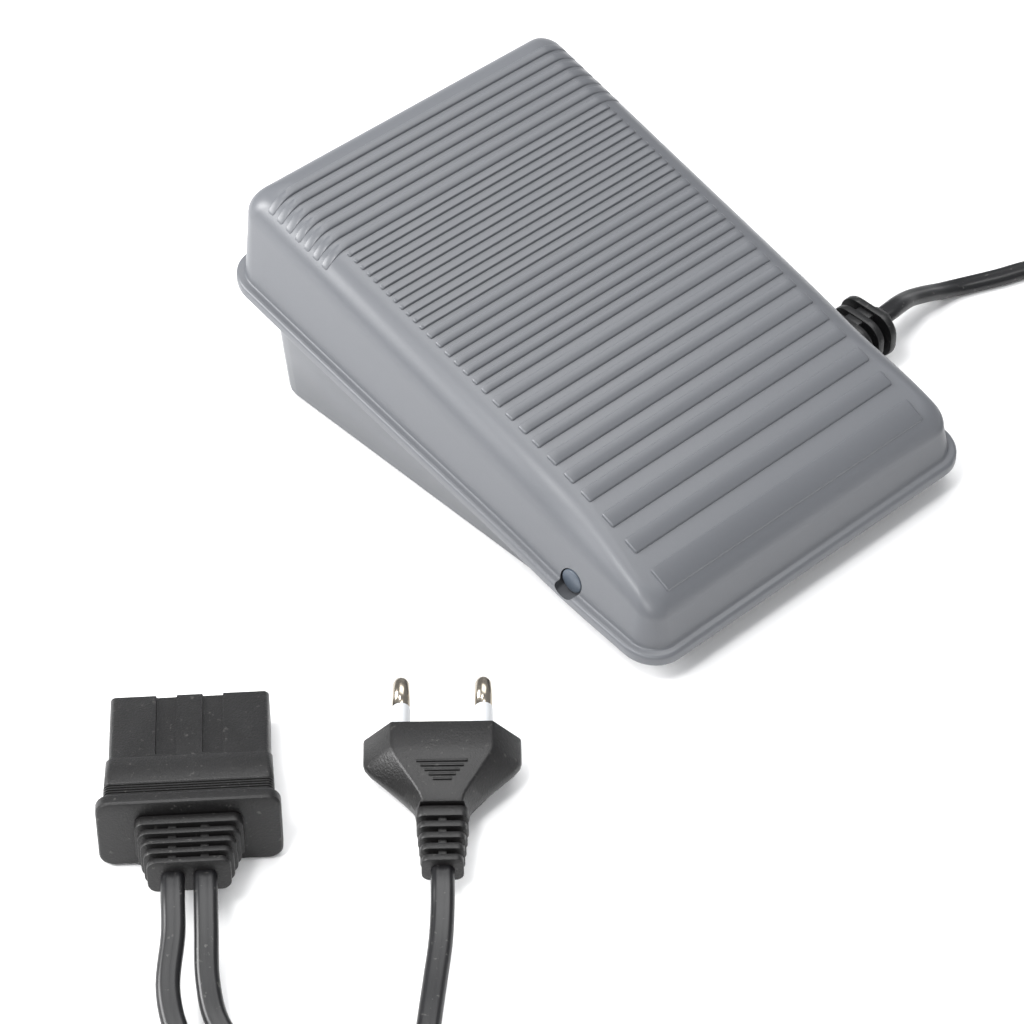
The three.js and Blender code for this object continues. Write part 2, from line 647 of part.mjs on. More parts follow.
const chokePlace = [-16, 6];
addPiece('choke_core', turned([
  [0, onBoard], [7.6, onBoard], [7.6, onBoard + 1.8], [4, onBoard + 1.8],
  [4, onBoard + 9.6], [7.6, onBoard + 9.6], [7.6, onBoard + 11.4], [0, onBoard + 11.4],
], ...chokePlace), materials.ferrite);
addPiece('choke_winding', turned([
  [4.3, onBoard + 2.1], [7, onBoard + 2.1], [7, onBoard + 9.3], [4.3, onBoard + 9.3], [4.3, onBoard + 2.1],
], ...chokePlace), materials.copper);

addPiece('power_resistor', box([11, 25], [13, 18], [onBoard, onBoard + 5.5]), materials.ceramic);

const trimmerPlace = [16, 26];
addPiece('speed_trimmer', rod(3.2, onBoard, onBoard + 5, ...trimmerPlace, 20)
  .subtract(box([trimmerPlace[0] - 2, trimmerPlace[0] + 2], [trimmerPlace[1] - 0.4, trimmerPlace[1] + 0.4], [onBoard + 4.2, onBoard + 6])),
materials.bluePlastic);

// Two-way terminal block: screws from above, wires from the low end.
const terminalRight = Math.min(25, width / 2 - 29);
const terminalX = [terminalRight - 11.5, terminalRight];
const terminalY = [-17, -8];
const wireX = [terminalRight - 8.4, terminalRight - 3.1];
const wireZ = onBoard + 3.2;
const wireRadius = 1;
const terminalTop = onBoard + 9.5;

function terminalBlock() {
  let block = box(terminalX, terminalY, [onBoard, terminalTop]);
  for (const x of wireX) {
    block = block.subtract(lengthRod(wireRadius + gap, terminalY[0] - 1, terminalY[0] + 5, x, wireZ, 12));
    block = block.subtract(rod(1.9, onBoard + 5.2, terminalTop + 1, x, terminalY[0] + 4.5, 16));
  }
  return block;
}
addPiece('terminal_block', terminalBlock(), materials.greenPlastic);
wireX.forEach((x, i) => {
  const y = terminalY[0] + 4.5;
  const body = rod(1.6, onBoard + 5.5, terminalTop - 0.8, x, y, 16);
  const slot = box([x - 2, x + 2], [y - 0.3, y + 0.3], [terminalTop - 1.6, terminalTop]);
  addPiece(`terminal_screw_${i + 1}`, body.subtract(slot), materials.steel);
});

// ---------------------------------------------------------------- strain relief, clamp and inner wires

// Built along its own Z and then laid along +X: its width is along Y and its thickness is upright.
function reliefSections() {
  const lean = baseDraft * reliefHalfHeight;
  const wallOuter = reliefWallX + lean + gap - 0.3;
  const wallInner = reliefWallX - lean - baseWall - gap;
  const end = width / 2 + reliefReach;
  const [tailX, tailY] = [cordWidth / 2, cordThickness / 2];
  const [neckX, neckY] = [reliefNeckHalfWidth, reliefNeckHalfHeight];
  const sections = [
    [wallInner - 1.8 - tailLength, tailX, tailY, 1.4], [wallInner - 1.8, tailX, tailY, 1.4],
    [wallInner - 1.7, reliefHalfWidth, reliefHalfHeight, 3], [wallInner, reliefHalfWidth, reliefHalfHeight, 3],
    [wallInner + 0.1, neckX, neckY, 3], [wallOuter + 0.1, neckX, neckY, 3],
  ];
  const pitch = (end - wallOuter - 0.6) / reliefRings;
  for (let i = 0; i < reliefRings; i++) {
    const start = wallOuter + 0.6 + i * pitch;
    const slim = i === reliefRings - 1 ? 0 : 0.6;
    const [ringX, ringY] = [reliefHalfWidth - slim, reliefHalfHeight - slim];
    sections.push([start, ringX, ringY, 4], [start + 2.2, ringX, ringY, 4]);
    const deeper = i === reliefRings - 1 ? 1.2 : 0;
    sections.push([start + 2.3, neckX - deeper, neckY - deeper, 2.4], [start + pitch - 0.1, neckX - deeper, neckY - deeper, 2.4]);
  }
  return sections.concat([[end + 2.6, cordWidth / 2 + 0.6, cordThickness / 2 + 0.5, 1.6]]);
}
const reliefEnd = width / 2 + reliefReach + 2.6;
const reliefTailStart = reliefWallX - baseDraft * reliefHalfHeight - baseWall - gap - 1.8 - tailLength;

const relief = new THREE.Group();
relief.position.set(0, reliefY, reliefHeight);
relief.quaternion.setFromRotationMatrix(new THREE.Matrix4().makeBasis(
  new THREE.Vector3(0, 1, 0), new THREE.Vector3(0, 0, 1), new THREE.Vector3(1, 0, 0),
));
pedal.add(relief);
addPiece('strain_relief', stacked(reliefSections()), materials.blackPvc, relief);

const clampBottom = clampPostTop + gap;
function cordClamp() {
  let bar = box([clampX - clampHalfX, clampX + clampHalfX], [reliefY - clampHalfY, reliefY + clampHalfY], [clampBottom, clampBottom + 2]);
  for (const side of [-1, 1]) {
    bar = bar.subtract(rod(1.6, clampBottom - 1, clampBottom + 3, clampX, reliefY + side * clampScrewY, 12));
  }
  return bar;
}
addPiece('cord_clamp', cordClamp(), materials.basePlastic);
[-1, 1].forEach((side, i) => {
  const seat = clampBottom + 2 + gap;
  addPiece(`clamp_screw_${i + 1}`, screw(clampX, reliefY + side * clampScrewY, seat, floorTop + 1.2), materials.steel);
});

const wireStart = reliefTailStart - gap;
const wireEndY = terminalY[0] + 3;
[['lead_wire_brown', -1, wireX[0], materials.brownWire], ['lead_wire_blue', 1, wireX[1], materials.blueWire]]
  .forEach(([name, side, x, material]) => {
    const startY = reliefY + side * 1.3;
    const curve = smoothCurve([
      [wireStart, startY, reliefHeight],
      [wireStart - 3, startY + side * 0.2, reliefHeight + 0.1],
      [(wireStart + x) / 2, startY + 0.5 + side, (reliefHeight + wireZ) / 2],
      [x + 0.6, terminalY[0] - 5, wireZ - 0.2],
      [x, terminalY[0] - 1.5, wireZ],
      [x, wireEndY, wireZ],
    ]);
    addPiece(name, tubeAlong(curve, ovalShape(2 * wireRadius, 2 * wireRadius, 8), 14), material);
  });

// ---------------------------------------------------------------- machine connector

// A group whose own Z axis lies along heading (degrees from +X), tipped up by pitch.
function lying(x, y, z, heading, pitch) {
  const turn = THREE.MathUtils.degToRad(heading);
  const along = new THREE.Vector3(Math.cos(turn) * Math.cos(pitch), Math.sin(turn) * Math.cos(pitch), Math.sin(pitch));
  const up = new THREE.Vector3(-Math.cos(turn) * Math.sin(pitch), -Math.sin(turn) * Math.sin(pitch), Math.cos(pitch));
  const group = new THREE.Group();
  group.position.set(x, y, z);
  group.quaternion.setFromRotationMatrix(new THREE.Matrix4().makeBasis(up.clone().cross(along), up, along));
  pedal.add(group);
  return group;
}

const connectorHeadHalf = [17.85, 4.75];
const connectorFlangeHalf = [20.1, 9];
const connectorReliefEnd = 14;
const connectorFlangeEnd = 17.5;
const connectorGripEnd = 24.5;
const connectorCollarEnd = 33.5;
const connectorEnd = 55.5;
const socketPitch = 10.4;
const socketRadius = 3.3;
const socketDepth = 16;
const contactRadius = 2.7;
const cordPitch = 7;

// It rests on the flange's front edge and on the lower edge of its socket face.
const connectorPitch = -Math.asin((connectorFlangeHalf[1] - connectorHeadHalf[1]) / (connectorEnd - connectorFlangeEnd));
const connectorAxisHeight = connectorFlangeHalf[1] * Math.cos(connectorPitch) - connectorFlangeEnd * Math.sin(connectorPitch) + 0.05;
const connectorPlace = [-170.5, -52];
const connectorHeading = 50.7;
const connector = lying(...connectorPlace, connectorAxisHeight, connectorHeading, connectorPitch);

function connectorBody() {
  const [headX, headY] = connectorHeadHalf;
  const [flangeX, flangeY] = connectorFlangeHalf;
  let body = stacked([
    [connectorReliefEnd + gap, flangeX - 0.8, flangeY - 0.8, 2.6],
    [connectorReliefEnd + 1, flangeX, flangeY, 3], [connectorFlangeEnd - 0.6, flangeX, flangeY, 3],
    [connectorFlangeEnd, flangeX - 0.8, flangeY - 0.8, 2.6],
    [connectorFlangeEnd + 0.1, headX + 0.8, headY + 1.6, 2], [connectorGripEnd, headX + 0.8, headY + 1.3, 2],
    [connectorGripEnd + 0.1, headX + 0.5, headY + 1, 1.6], [connectorCollarEnd, headX + 0.3, headY + 0.7, 1.6],
    [connectorCollarEnd + 0.1, headX, headY, 1.2], [connectorEnd, headX, headY, 1.2],
  ]);
  for (const place of [-1, 0, 1]) {
    const bore = new THREE.CylinderGeometry(socketRadius, socketRadius, socketDepth + 1, 20).rotateX(Math.PI / 2);
    body = body.subtract(toSolid(bore.translate(place * socketPitch, 0, connectorEnd - socketDepth / 2 + 0.5)));
  }
  const channelHalfWidth = 2.3;
  const channelDepth = 0.9;
  for (const side of [-1, 1]) {
    for (const place of [-0.5, 0.5]) {
      const middle = place * socketPitch;
      const deep = [headY - channelDepth, headY + 1].map((v) => side * v).sort((a, b) => a - b);
      body = body.subtract(box([middle - channelHalfWidth, middle + channelHalfWidth], deep, [connectorCollarEnd + 1.5, connectorEnd + 1]));
    }
  }
  return body;
}
addPiece('connector_body', connectorBody(), materials.blackPvc, connector);

for (const [name, place] of [['socket_contact_1', -1], ['socket_contact_2', 0], ['socket_contact_3', 1]]) {
  const bottom = connectorEnd - socketDepth + gap;
  const outer = new THREE.CylinderGeometry(contactRadius, contactRadius, socketDepth - 2, 16).rotateX(Math.PI / 2);
  const hole = new THREE.CylinderGeometry(1.3, 1.3, socketDepth, 12).rotateX(Math.PI / 2);
  const middle = bottom + (socketDepth - 2) / 2;
  const sleeve = toSolid(outer.translate(place * socketPitch, 0, middle));
  addPiece(name, sleeve.subtract(toSolid(hole.translate(place * socketPitch, 0, middle + 2.5))), materials.brass, connector);
}

// A ribbed bend relief along its own Z: rings of falling size with slimmer necks between them.
function ribbedRelief(end, rings, from, to, neckInset) {
  const sections = [];
  const pitch = end / rings;
  for (let i = 0; i < rings; i++) {
    const share = i / (rings - 1);
    const [halfX, halfY] = [0, 1].map((k) => from[k] + (to[k] - from[k]) * share);
    const start = i * pitch;
    sections.push([start, halfX, halfY, 2], [start + pitch * 0.55, halfX, halfY, 2]);
    if (i + 1 < rings) {
      sections.push([start + pitch * 0.58, halfX - neckInset, halfY - neckInset, 1.4]);
      sections.push([start + pitch * 0.97, halfX - neckInset, halfY - neckInset, 1.4]);
    } else {
      sections.push([end, halfX, halfY, 2]);
    }
  }
  return stacked(sections, 2);
}
addPiece('connector_strain_relief', ribbedRelief(connectorReliefEnd, 5, [9, 4.2], [11.8, 5.4], 1.2), materials.blackPvc, connector);

// ---------------------------------------------------------------- mains plug

const plugHalfWidth = 17.65;
const plugHalfThickness = 6.85;
const plugFlatShare = 0.66; // of the width, flat on each broad face
const plugReliefEnd = 15;
const plugShoulder = 30;
const plugFace = 38;
const pinPitch = 18.6;
const sleeveEnd = 48.3;
const pinEnd = 57;
const plugPlace = [-127.4, -85];
const plug = lying(...plugPlace, plugHalfThickness + 0.05, 47.9, 0);

// Six-sided section, pointed at the parting line.
function plugSection(z, halfX, halfY) {
  const right = [[halfX * plugFlatShare, -halfY], [halfX, -0.6], [halfX, 0.6], [halfX * plugFlatShare, halfY]];
  const points = right.map(([x, y]) => new THREE.Vector3(x, y, z));
  return [...points, ...points.map((p) => new THREE.Vector3(-p.x, p.y, p.z)).reverse()];
}

function plugBody() {
  let body = lofted([
    plugSection(plugReliefEnd + gap, 6.2, 4.6),
    plugSection(plugShoulder, plugHalfWidth - 0.9, plugHalfThickness),
    plugSection(plugFace - 0.8, plugHalfWidth, plugHalfThickness),
    plugSection(plugFace, plugHalfWidth - 0.8, plugHalfThickness - 0.6),
  ]);
  for (const side of [-1, 1]) {
    const bore = new THREE.CylinderGeometry(1.8, 1.8, 12, 16).rotateX(Math.PI / 2);
    body = body.subtract(toSolid(bore.translate(side * pinPitch / 2, 0, plugFace - 4)));
  }
  return body;
}
addPiece('plug_body', plugBody(), materials.blackPvc, plug);
addPiece('plug_strain_relief', ribbedRelief(plugReliefEnd, 5, [4.6, 3.4], [5.7, 4.3], 0.9), materials.blackPvc, plug);

for (const [name, side] of [['left', -1], ['right', 1]]) {
  const lathe = (profile) => toSolid(new THREE.LatheGeometry(profile.map(([r, z]) => new THREE.Vector2(r, z)), 16)
    .rotateX(Math.PI / 2).translate(side * pinPitch / 2, 0, 0));
  addPiece(`plug_pin_${name}`, lathe([
    [0, plugFace - 9], [1.5, plugFace - 9], [1.5, plugFace - 0.5], [1.2, plugFace], [1.2, sleeveEnd], [2, sleeveEnd],
    [2, pinEnd - 1.6], [1.6, pinEnd - 0.5], [0.8, pinEnd], [0, pinEnd],
  ]), materials.nickel, plug);
  addPiece(`pin_sleeve_${name}`, lathe([
    [1.5, plugFace + gap], [2.1, plugFace + gap], [2.1, sleeveEnd - gap], [1.5, sleeveEnd - gap], [1.5, plugFace + gap],
  ]), materials.whitePlastic, plug);
}

// ---------------------------------------------------------------- cords, laid on the floor

const cordSection = ovalShape(cordThickness, cordWidth, 8);
const flat = cordThickness / 2 + 0.05;
const onTwo = flat + cordThickness + 0.35; // where it lies over another cord

// A point on the back face of the connector's relief, out from it by distance along the axis.
function behindConnector(across, distance) {
  const point = new THREE.Vector3(across, 0, -distance);
  connector.updateMatrixWorld(true);
  return connector.localToWorld(point).toArray();
}

// Pedal cord, from the strain relief to its coil.
addPiece('pedal_cord_near', tubeAlong(smoothCurve([
  [reliefEnd + gap, reliefY, reliefHeight], [reliefEnd + 2.4, reliefY + 0.15, reliefHeight - 0.05], [81, -26.5, 10.8],
  [87.1, -24.9, 8.4], [93.9, -24.5, 5.8], [100.2, -24.6, 3.3], [105.4, -25.3, 1.95],
  [111, -27.4, flat], [117, -29.9, flat], [125, -32.8, flat], [134.5, -38, flat], [143.4, -46.7, flat],
  [149.6, -58.5, flat], [152.9, -71.5, flat], [154.3, -85.5, flat], [154.6, -100.1, flat],
]), cordSection, 12), materials.cordPvc);

// From the coil round to the connector.
addPiece('pedal_cord_far', tubeAlong(smoothCurve([
  [121.3, -140.1, 5.6], [112, -147.6, 4.3], [101, -154.6, 2.6], [82, -164.5, flat], [58, -174, flat],
  [33, -184, flat], [8, -193.5, flat], [-18, -202, flat], [-43, -206.5, flat], [-65, -203.5, flat],
  [-82, -195, flat], [-98, -181.5, flat], [-116.4, -164.3, flat], [-138.3, -143.8, flat], [-160.3, -123.4, flat],
  [-173, -111.5, flat], [-182, -102.6, flat], [-187, -96, flat], [-188.6, -88.5, flat + 0.2], [-187.4, -80.8, 3.2],
  [-183.4, -73.4, 5.9], behindConnector(-cordPitch / 2, 14).map((v, i) => (i === 2 ? v - 3.4 : v)),
  behindConnector(-cordPitch / 2, 6).map((v, i) => (i === 2 ? v - 0.8 : v)), behindConnector(-cordPitch / 2, gap),
]), cordSection, 32), materials.cordPvc);

// Mains cord, from the connector to its coil.
addPiece('mains_cord_near', tubeAlong(smoothCurve([
  behindConnector(cordPitch / 2, gap), behindConnector(cordPitch / 2, 6).map((v, i) => (i === 2 ? v - 0.8 : v)),
  behindConnector(cordPitch / 2, 14).map((v, i) => (i === 2 ? v - 3.4 : v)),
  [-191.2, -69.8, 5.9], [-195.9, -78.8, 3.2], [-197.6, -89.3, flat + 0.2], [-195.4, -100.4, flat],
  [-188.4, -111.8, flat], [-176, -123.8, flat], [-161, -137.8, flat], [-149.5, -148.5, flat], [-138.6, -158.7, flat],
]), cordSection, 12), materials.cordPvc);

// And from the coil, over the two cords in its way, to the plug.
addPiece('mains_cord_far', tubeAlong(smoothCurve([
  [-196, -160.5, 5.8], [-193.4, -151.3, 5.7], [-188.4, -143.2, 5.5], [-182, -136, onTwo], [-175, -129.4, onTwo],
  [-168, -123, onTwo], [-161, -116.8, onTwo], [-154, -110.6, 5.1], [-147, -104.4, 4.8], [-140, -98.2, 5],
  [-134, -92.2, 5.9], [-130.4, -88.3, plugHalfThickness], [plugPlace[0] - 0.3, plugPlace[1] - 0.3, plugHalfThickness + 0.05],
]), cordSection, 10), materials.cordPvc);

// A coil lies flat in two layers of three turns, and a tie goes round its section at one place.
const coilBottom = 0.7;
const coilTop = 7.7;
const coilInner = 21.4;
const coilOuter = 37.9;
const tieWall = 0.8;
const tieSole = 0.4;
const tieHalfWidth = 4;

function addCoil(name, x, y, tieAngle) {
  const [inner, outer] = [coilInner, coilOuter];
  const ringSolid = turned([
    [inner + 1, coilBottom], [outer - 1, coilBottom], [outer, coilBottom + 1], [outer, coilTop - 1],
    [outer - 1, coilTop], [inner + 1, coilTop], [inner, coilTop - 1], [inner, coilBottom + 1], [inner + 1, coilBottom],
  ], x, y, 32);
  addPiece(`${name}_coil`, ringSolid, materials.cordPvc);
  const place = new THREE.Group();
  place.position.set(x, y, 0);
  place.rotation.z = THREE.MathUtils.degToRad(tieAngle);
  pedal.add(place);
  const across = [-tieHalfWidth, tieHalfWidth];
  const within = Math.sqrt(inner ** 2 - (tieHalfWidth + 0.1) ** 2) - gap;
  const outside = box([within - tieWall, outer + gap + tieWall], across, [0, coilTop + gap + tieWall]);
  const inside = box([within, outer + gap], [-tieHalfWidth - 1, tieHalfWidth + 1], [tieSole, coilTop + gap]);
  addPiece(`${name}_tie`, outside.subtract(inside), materials.blackPvc, place);
}
addCoil('pedal_cord', 113.8, -100.1, 150);
addCoil('mains_cord', -166.4, -188.5, -60);

export default pedal;
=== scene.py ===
"""Foot pedal of a household sewing machine, with its machine connector and its mains plug."""

import json
import math

import bmesh
import bpy
import numpy as np
from mathutils import Matrix, Vector


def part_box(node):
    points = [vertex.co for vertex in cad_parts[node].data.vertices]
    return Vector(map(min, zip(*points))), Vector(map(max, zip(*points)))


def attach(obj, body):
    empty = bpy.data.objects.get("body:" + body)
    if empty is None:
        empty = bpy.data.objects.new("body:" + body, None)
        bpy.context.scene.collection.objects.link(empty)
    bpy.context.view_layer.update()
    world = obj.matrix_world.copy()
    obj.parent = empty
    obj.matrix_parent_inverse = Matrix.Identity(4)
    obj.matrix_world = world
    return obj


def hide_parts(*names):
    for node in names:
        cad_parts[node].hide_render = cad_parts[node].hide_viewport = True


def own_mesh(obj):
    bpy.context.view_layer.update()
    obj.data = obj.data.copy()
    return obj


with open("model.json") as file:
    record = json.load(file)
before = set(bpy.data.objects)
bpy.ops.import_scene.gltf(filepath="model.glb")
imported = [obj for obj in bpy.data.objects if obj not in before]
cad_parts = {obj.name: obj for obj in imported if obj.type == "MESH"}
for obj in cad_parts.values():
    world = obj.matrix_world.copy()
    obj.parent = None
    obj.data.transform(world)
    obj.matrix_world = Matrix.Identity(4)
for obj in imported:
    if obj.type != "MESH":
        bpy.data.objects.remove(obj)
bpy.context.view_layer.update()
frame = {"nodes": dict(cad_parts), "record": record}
nodes = frame["nodes"]
bpy.ops.object.select_all(action="DESELECT")

# ---------------------------------------------------------------- camera, floor and lights
# The pedal lies on a pale floor. It is seen from its low end's left, from well above, with a long lens,
# and lit by soft lights from the left, above and in front, as on a product table.

mm = 0.001
camera_azimuth = math.radians(-43.038)
camera_elevation = math.radians(43.189)
camera_distance = 887.2 * mm
aim = Vector((-23.71, 4.18, -14.91)) * mm

back = Vector((
    math.sin(camera_azimuth) * math.cos(camera_elevation),
    -math.cos(camera_azimuth) * math.cos(camera_elevation),
    math.sin(camera_elevation),
))
lens = bpy.data.cameras.new("product_camera")
lens.lens = 126.14
lens.sensor_width = 36
lens.clip_start = 0.01
camera = bpy.data.objects.new("product_camera", lens)
camera.location = aim + back * camera_distance
camera.rotation_euler = (math.pi / 2 - camera_elevation, 0, camera_azimuth)
bpy.context.scene.collection.objects.link(camera)
bpy.context.scene.camera = camera


def linear(colour):
    """An sRGB hex colour as the linear values that a shader takes."""
    values = [int(colour[i:i + 2], 16) / 255 for i in (1, 3, 5)]
    return [v / 12.92 if v <= 0.04045 else ((v + 0.055) / 1.055) ** 2.4 for v in values] + [1.0]


def add_node(material, kind, inputs=(), **settings):
    """A new node with its settings, its input values and the links into it."""
    node = material.node_tree.nodes.new(kind)
    for name, value in settings.items():
        setattr(node, name, value)
    for socket, value in dict(inputs).items():
        if isinstance(value, bpy.types.NodeSocket):
            material.node_tree.links.new(value, node.inputs[socket])
        else:
            node.inputs[socket].default_value = value
    return node


bpy.ops.mesh.primitive_plane_add(size=6, location=(0, 0, 0))
floor = bpy.context.object
floor.name = "floor"
floor_paint = bpy.data.materials.new("floor_matt_white")
floor_paint.use_nodes = True
floor_shader = floor_paint.node_tree.nodes["Principled BSDF"]
floor_shader.inputs["Base Color"].default_value = linear("#f7f7f7")
floor_shader.inputs["Roughness"].default_value = 0.9
floor.data.materials.append(floor_paint)

world = bpy.data.worlds.new("studio")
bpy.context.scene.world = world
world.use_nodes = True
world.node_tree.nodes["Background"].inputs["Color"].default_value = linear("#f4f6fa")
world.node_tree.nodes["Background"].inputs["Strength"].default_value = 0.45
bpy.context.scene.view_settings.view_transform = "Standard"

softboxes = [
    # name, place in metres, width and height in metres, watts
    ("key_left", (-0.78, 0.62, 0.66), (0.5, 0.5), 17.0),
    ("overhead", (0.3, 0.2, 1.25), (1.1, 0.9), 12.0),
    ("fill_front", (-0.62, -0.9, 0.95), (0.45, 0.45), 5.0),
    ("edge_light", (-0.6, -0.15, 1.1), (0.24, 0.24), 6.0),
]
for name, place, (wide, high), watts in softboxes:
    light = bpy.data.lights.new(name, "AREA")
    light.shape = "RECTANGLE"
    light.size = wide
    light.size_y = high
    light.energy = watts
    lamp = bpy.data.objects.new(name, light)
    lamp.location = place
    lamp.rotation_euler = (-Vector(place)).to_track_quat("-Z", "Y").to_euler()
    bpy.context.scene.collection.objects.link(lamp)

# ---------------------------------------------------------------- the two cords
# Both cords are light flat twin flex: two cores side by side in black PVC, 5.2 by 3.2 mm, with a shallow
# groove along each broad face. The extruded jacket is satin, and it picks up a little dust.

cord_width = 5.2 * mm
cord_thickness = 3.2 * mm
floor_height = 1.65  # mm, of a cord's centre line when it lies on the floor
second_layer = 5.75
first_layer = 2.35
over_cords = floor_height + 3.55
dust_colour = "#a9a7a2"
dust_size = 1.3  # mm, of the patches that the specks of dust gather in
relief_end = 74.1
relief_y = -27.5
relief_height = 11.6


def moulded(name, colour, roughness, grain, depth, drift=0.06, patch=35.0, dust=0.0):
    """Moulded or extruded plastic: grain is its texture's size and depth its height, in millimetres.

    Its colour drifts by a share over patches of a size in millimetres, and dust is the share of pale specks.
    """
    material = bpy.data.materials.new(name)
    material.use_nodes = True
    shader = material.node_tree.nodes["Principled BSDF"]
    place = add_node(material, "ShaderNodeTexCoord").outputs["Object"]
    fine = add_node(
        material, "ShaderNodeTexNoise",
        {"Vector": place, "Scale": 1 / (grain * mm), "Detail": 3.0, "Roughness": 0.62})
    wide = add_node(
        material, "ShaderNodeTexNoise",
        {"Vector": place, "Scale": 1 / (patch * mm), "Detail": 1.0, "Roughness": 0.5})
    base = linear(colour)
    darker = [v * (1 - drift) for v in base[:3]] + [1.0]
    lighter = [min(1.0, v * (1 + drift)) for v in base[:3]] + [1.0]
    both = add_node(material, "ShaderNodeMix", {0: 0.3, 2: wide.outputs["Fac"], 3: fine.outputs["Fac"]})
    blend = add_node(
        material, "ShaderNodeMapRange", {"Value": both.outputs[0], "From Min": 0.15, "From Max": 0.85},
        interpolation_type="SMOOTHSTEP")
    paint = add_node(
        material, "ShaderNodeMix", {0: blend.outputs[0], 6: darker, 7: lighter}, data_type="RGBA")
    colour_out = paint.outputs[2]
    if dust:
        specks = add_node(
            material, "ShaderNodeTexNoise", {"Vector": place, "Scale": 1 / (dust_size * mm), "Detail": 2.0})
        seen = add_node(
            material, "ShaderNodeMapRange",
            {"Value": specks.outputs["Fac"], "From Min": 0.66, "From Max": 0.74, "To Max": dust})
        dusty = add_node(
            material, "ShaderNodeMix", {0: seen.outputs[0], 6: colour_out, 7: linear(dust_colour)},
            data_type="RGBA")
        colour_out = dusty.outputs[2]
    material.node_tree.links.new(colour_out, shader.inputs["Base Color"])
    shine = add_node(
        material, "ShaderNodeMapRange",
        {"Value": wide.outputs["Fac"], "From Min": 0.1, "From Max": 0.9, "To Min": roughness - 0.06,
         "To Max": roughness + 0.06}, interpolation_type="SMOOTHSTEP")
    material.node_tree.links.new(shine.outputs[0], shader.inputs["Roughness"])
    bump = add_node(
        material, "ShaderNodeBump", {"Height": fine.outputs["Fac"], "Strength": 1.0, "Distance": depth * mm})
    material.node_tree.links.new(bump.outputs[0], shader.inputs["Normal"])
    shader.inputs["IOR"].default_value = 1.5
    return material


def smooth_path(points, step=1.4):
    """Centripetal curve through the points, in millimetres, as points a step apart, in metres."""
    points = [np.array(p, float) for p in points]
    ends = [2 * points[0] - points[1], *points, 2 * points[-1] - points[-2]]
    line = []
    for i in range(1, len(ends) - 2):
        four = ends[i - 1:i + 3]
        spans = [max(np.linalg.norm(b - a), 1e-6) ** 0.5 for a, b in zip(four, four[1:])]
        before, middle, after = (b - a for a, b in zip(four, four[1:]))
        slope_a = spans[1] * (
            before / spans[0] - (four[2] - four[0]) / (spans[0] + spans[1]) + middle / spans[1])
        slope_b = spans[1] * (
            middle / spans[1] - (four[3] - four[1]) / (spans[1] + spans[2]) + after / spans[2])
        for t in np.linspace(0, 1, 24, endpoint=False):
            line.append(
                (2 * t**3 - 3 * t**2 + 1) * four[1] + (t**3 - 2 * t**2 + t) * slope_a
                + (3 * t**2 - 2 * t**3) * four[2] + (t**3 - t**2) * slope_b)
    line = np.array([*line, points[-1]])
    run = np.concatenate([[0], np.cumsum(np.linalg.norm(np.diff(line, axis=0), axis=1))])
    at = np.linspace(0, run[-1], max(2, int(run[-1] / step)))
    return np.stack([np.interp(at, run, line[:, k]) for k in range(3)], axis=1) * mm


def wound(centre, entry_angle, last_turn):
    """Turns of a flat coil, clockwise: three columns inward on the floor, then three outward on top."""
    columns = [35.1, 29.65, 24.2]
    stages = [
        # degrees from the entry, radius and height in millimetres
        (0, 40.8, floor_height), (60, columns[0], first_layer), (360, columns[0], first_layer),
        (420, columns[1], first_layer), (720, columns[1], first_layer), (780, columns[2], first_layer),
        (1020, columns[2], first_layer), (1080, columns[2], second_layer), (1320, columns[2], second_layer),
        (1380, columns[1], second_layer), (1680, columns[1], second_layer), (1740, columns[0], second_layer),
        (last_turn, columns[0], second_layer),
    ]
    turns = []
    for (start, radius_a, height_a), (end, radius_b, height_b) in zip(stages, stages[1:]):
        for turn in np.arange(start, end, 12.0):
            share = (turn - start) / (end - start)
            share = share * share * (3 - 2 * share)
            radius = radius_a + (radius_b - radius_a) * share
            angle = math.radians(entry_angle - turn)
            height = height_a + (height_b - height_a) * share
            turns.append((centre[0] + radius * math.cos(angle), centre[1] + radius * math.sin(angle), height))
    return turns


def flat_cord(name, path):
    """Mesh of the flat cord along a path: two round cores side by side, and a groove between them."""
    section = []
    for i in range(20):
        angle = 2 * math.pi * (i + 0.5) / 20
        across = math.cos(angle)
        groove = 0.24 * mm * math.exp(-((across * 2.6) / 0.55) ** 2)
        lobe = math.sqrt(max(0.0, 1 - max(0.0, (abs(across) * 2.6 - 1.0) / 1.6) ** 2))
        upright = math.copysign(max(lobe * cord_thickness / 2 - groove, 0.0), math.sin(angle))
        section.append((across * cord_width / 2 / math.cos(math.pi / 20), upright))
    tangents = np.gradient(path, axis=0)
    tangents /= np.linalg.norm(tangents, axis=1)[:, None]
    sides = np.cross(tangents, [0, 0, 1])
    sides /= np.linalg.norm(sides, axis=1)[:, None]
    ups = np.cross(sides, tangents)
    rings = [[p + s * x + u * y for x, y in section] for p, s, u in zip(path, sides, ups)]
    count = len(section)
    faces = [
        (r * count + i, r * count + (i + 1) % count, (r + 1) * count + (i + 1) % count, (r + 1) * count + i)
        for r in range(len(rings) - 1) for i in range(count)]
    faces.append(tuple(range(count)))
    faces.append(tuple((len(rings) - 1) * count + i for i in reversed(range(count))))
    mesh = bpy.data.meshes.new(name)
    mesh.from_pydata([tuple(p) for ring in rings for p in ring], [], faces)
    piece = bpy.data.objects.new(name, mesh)
    bpy.context.scene.collection.objects.link(piece)
    return piece


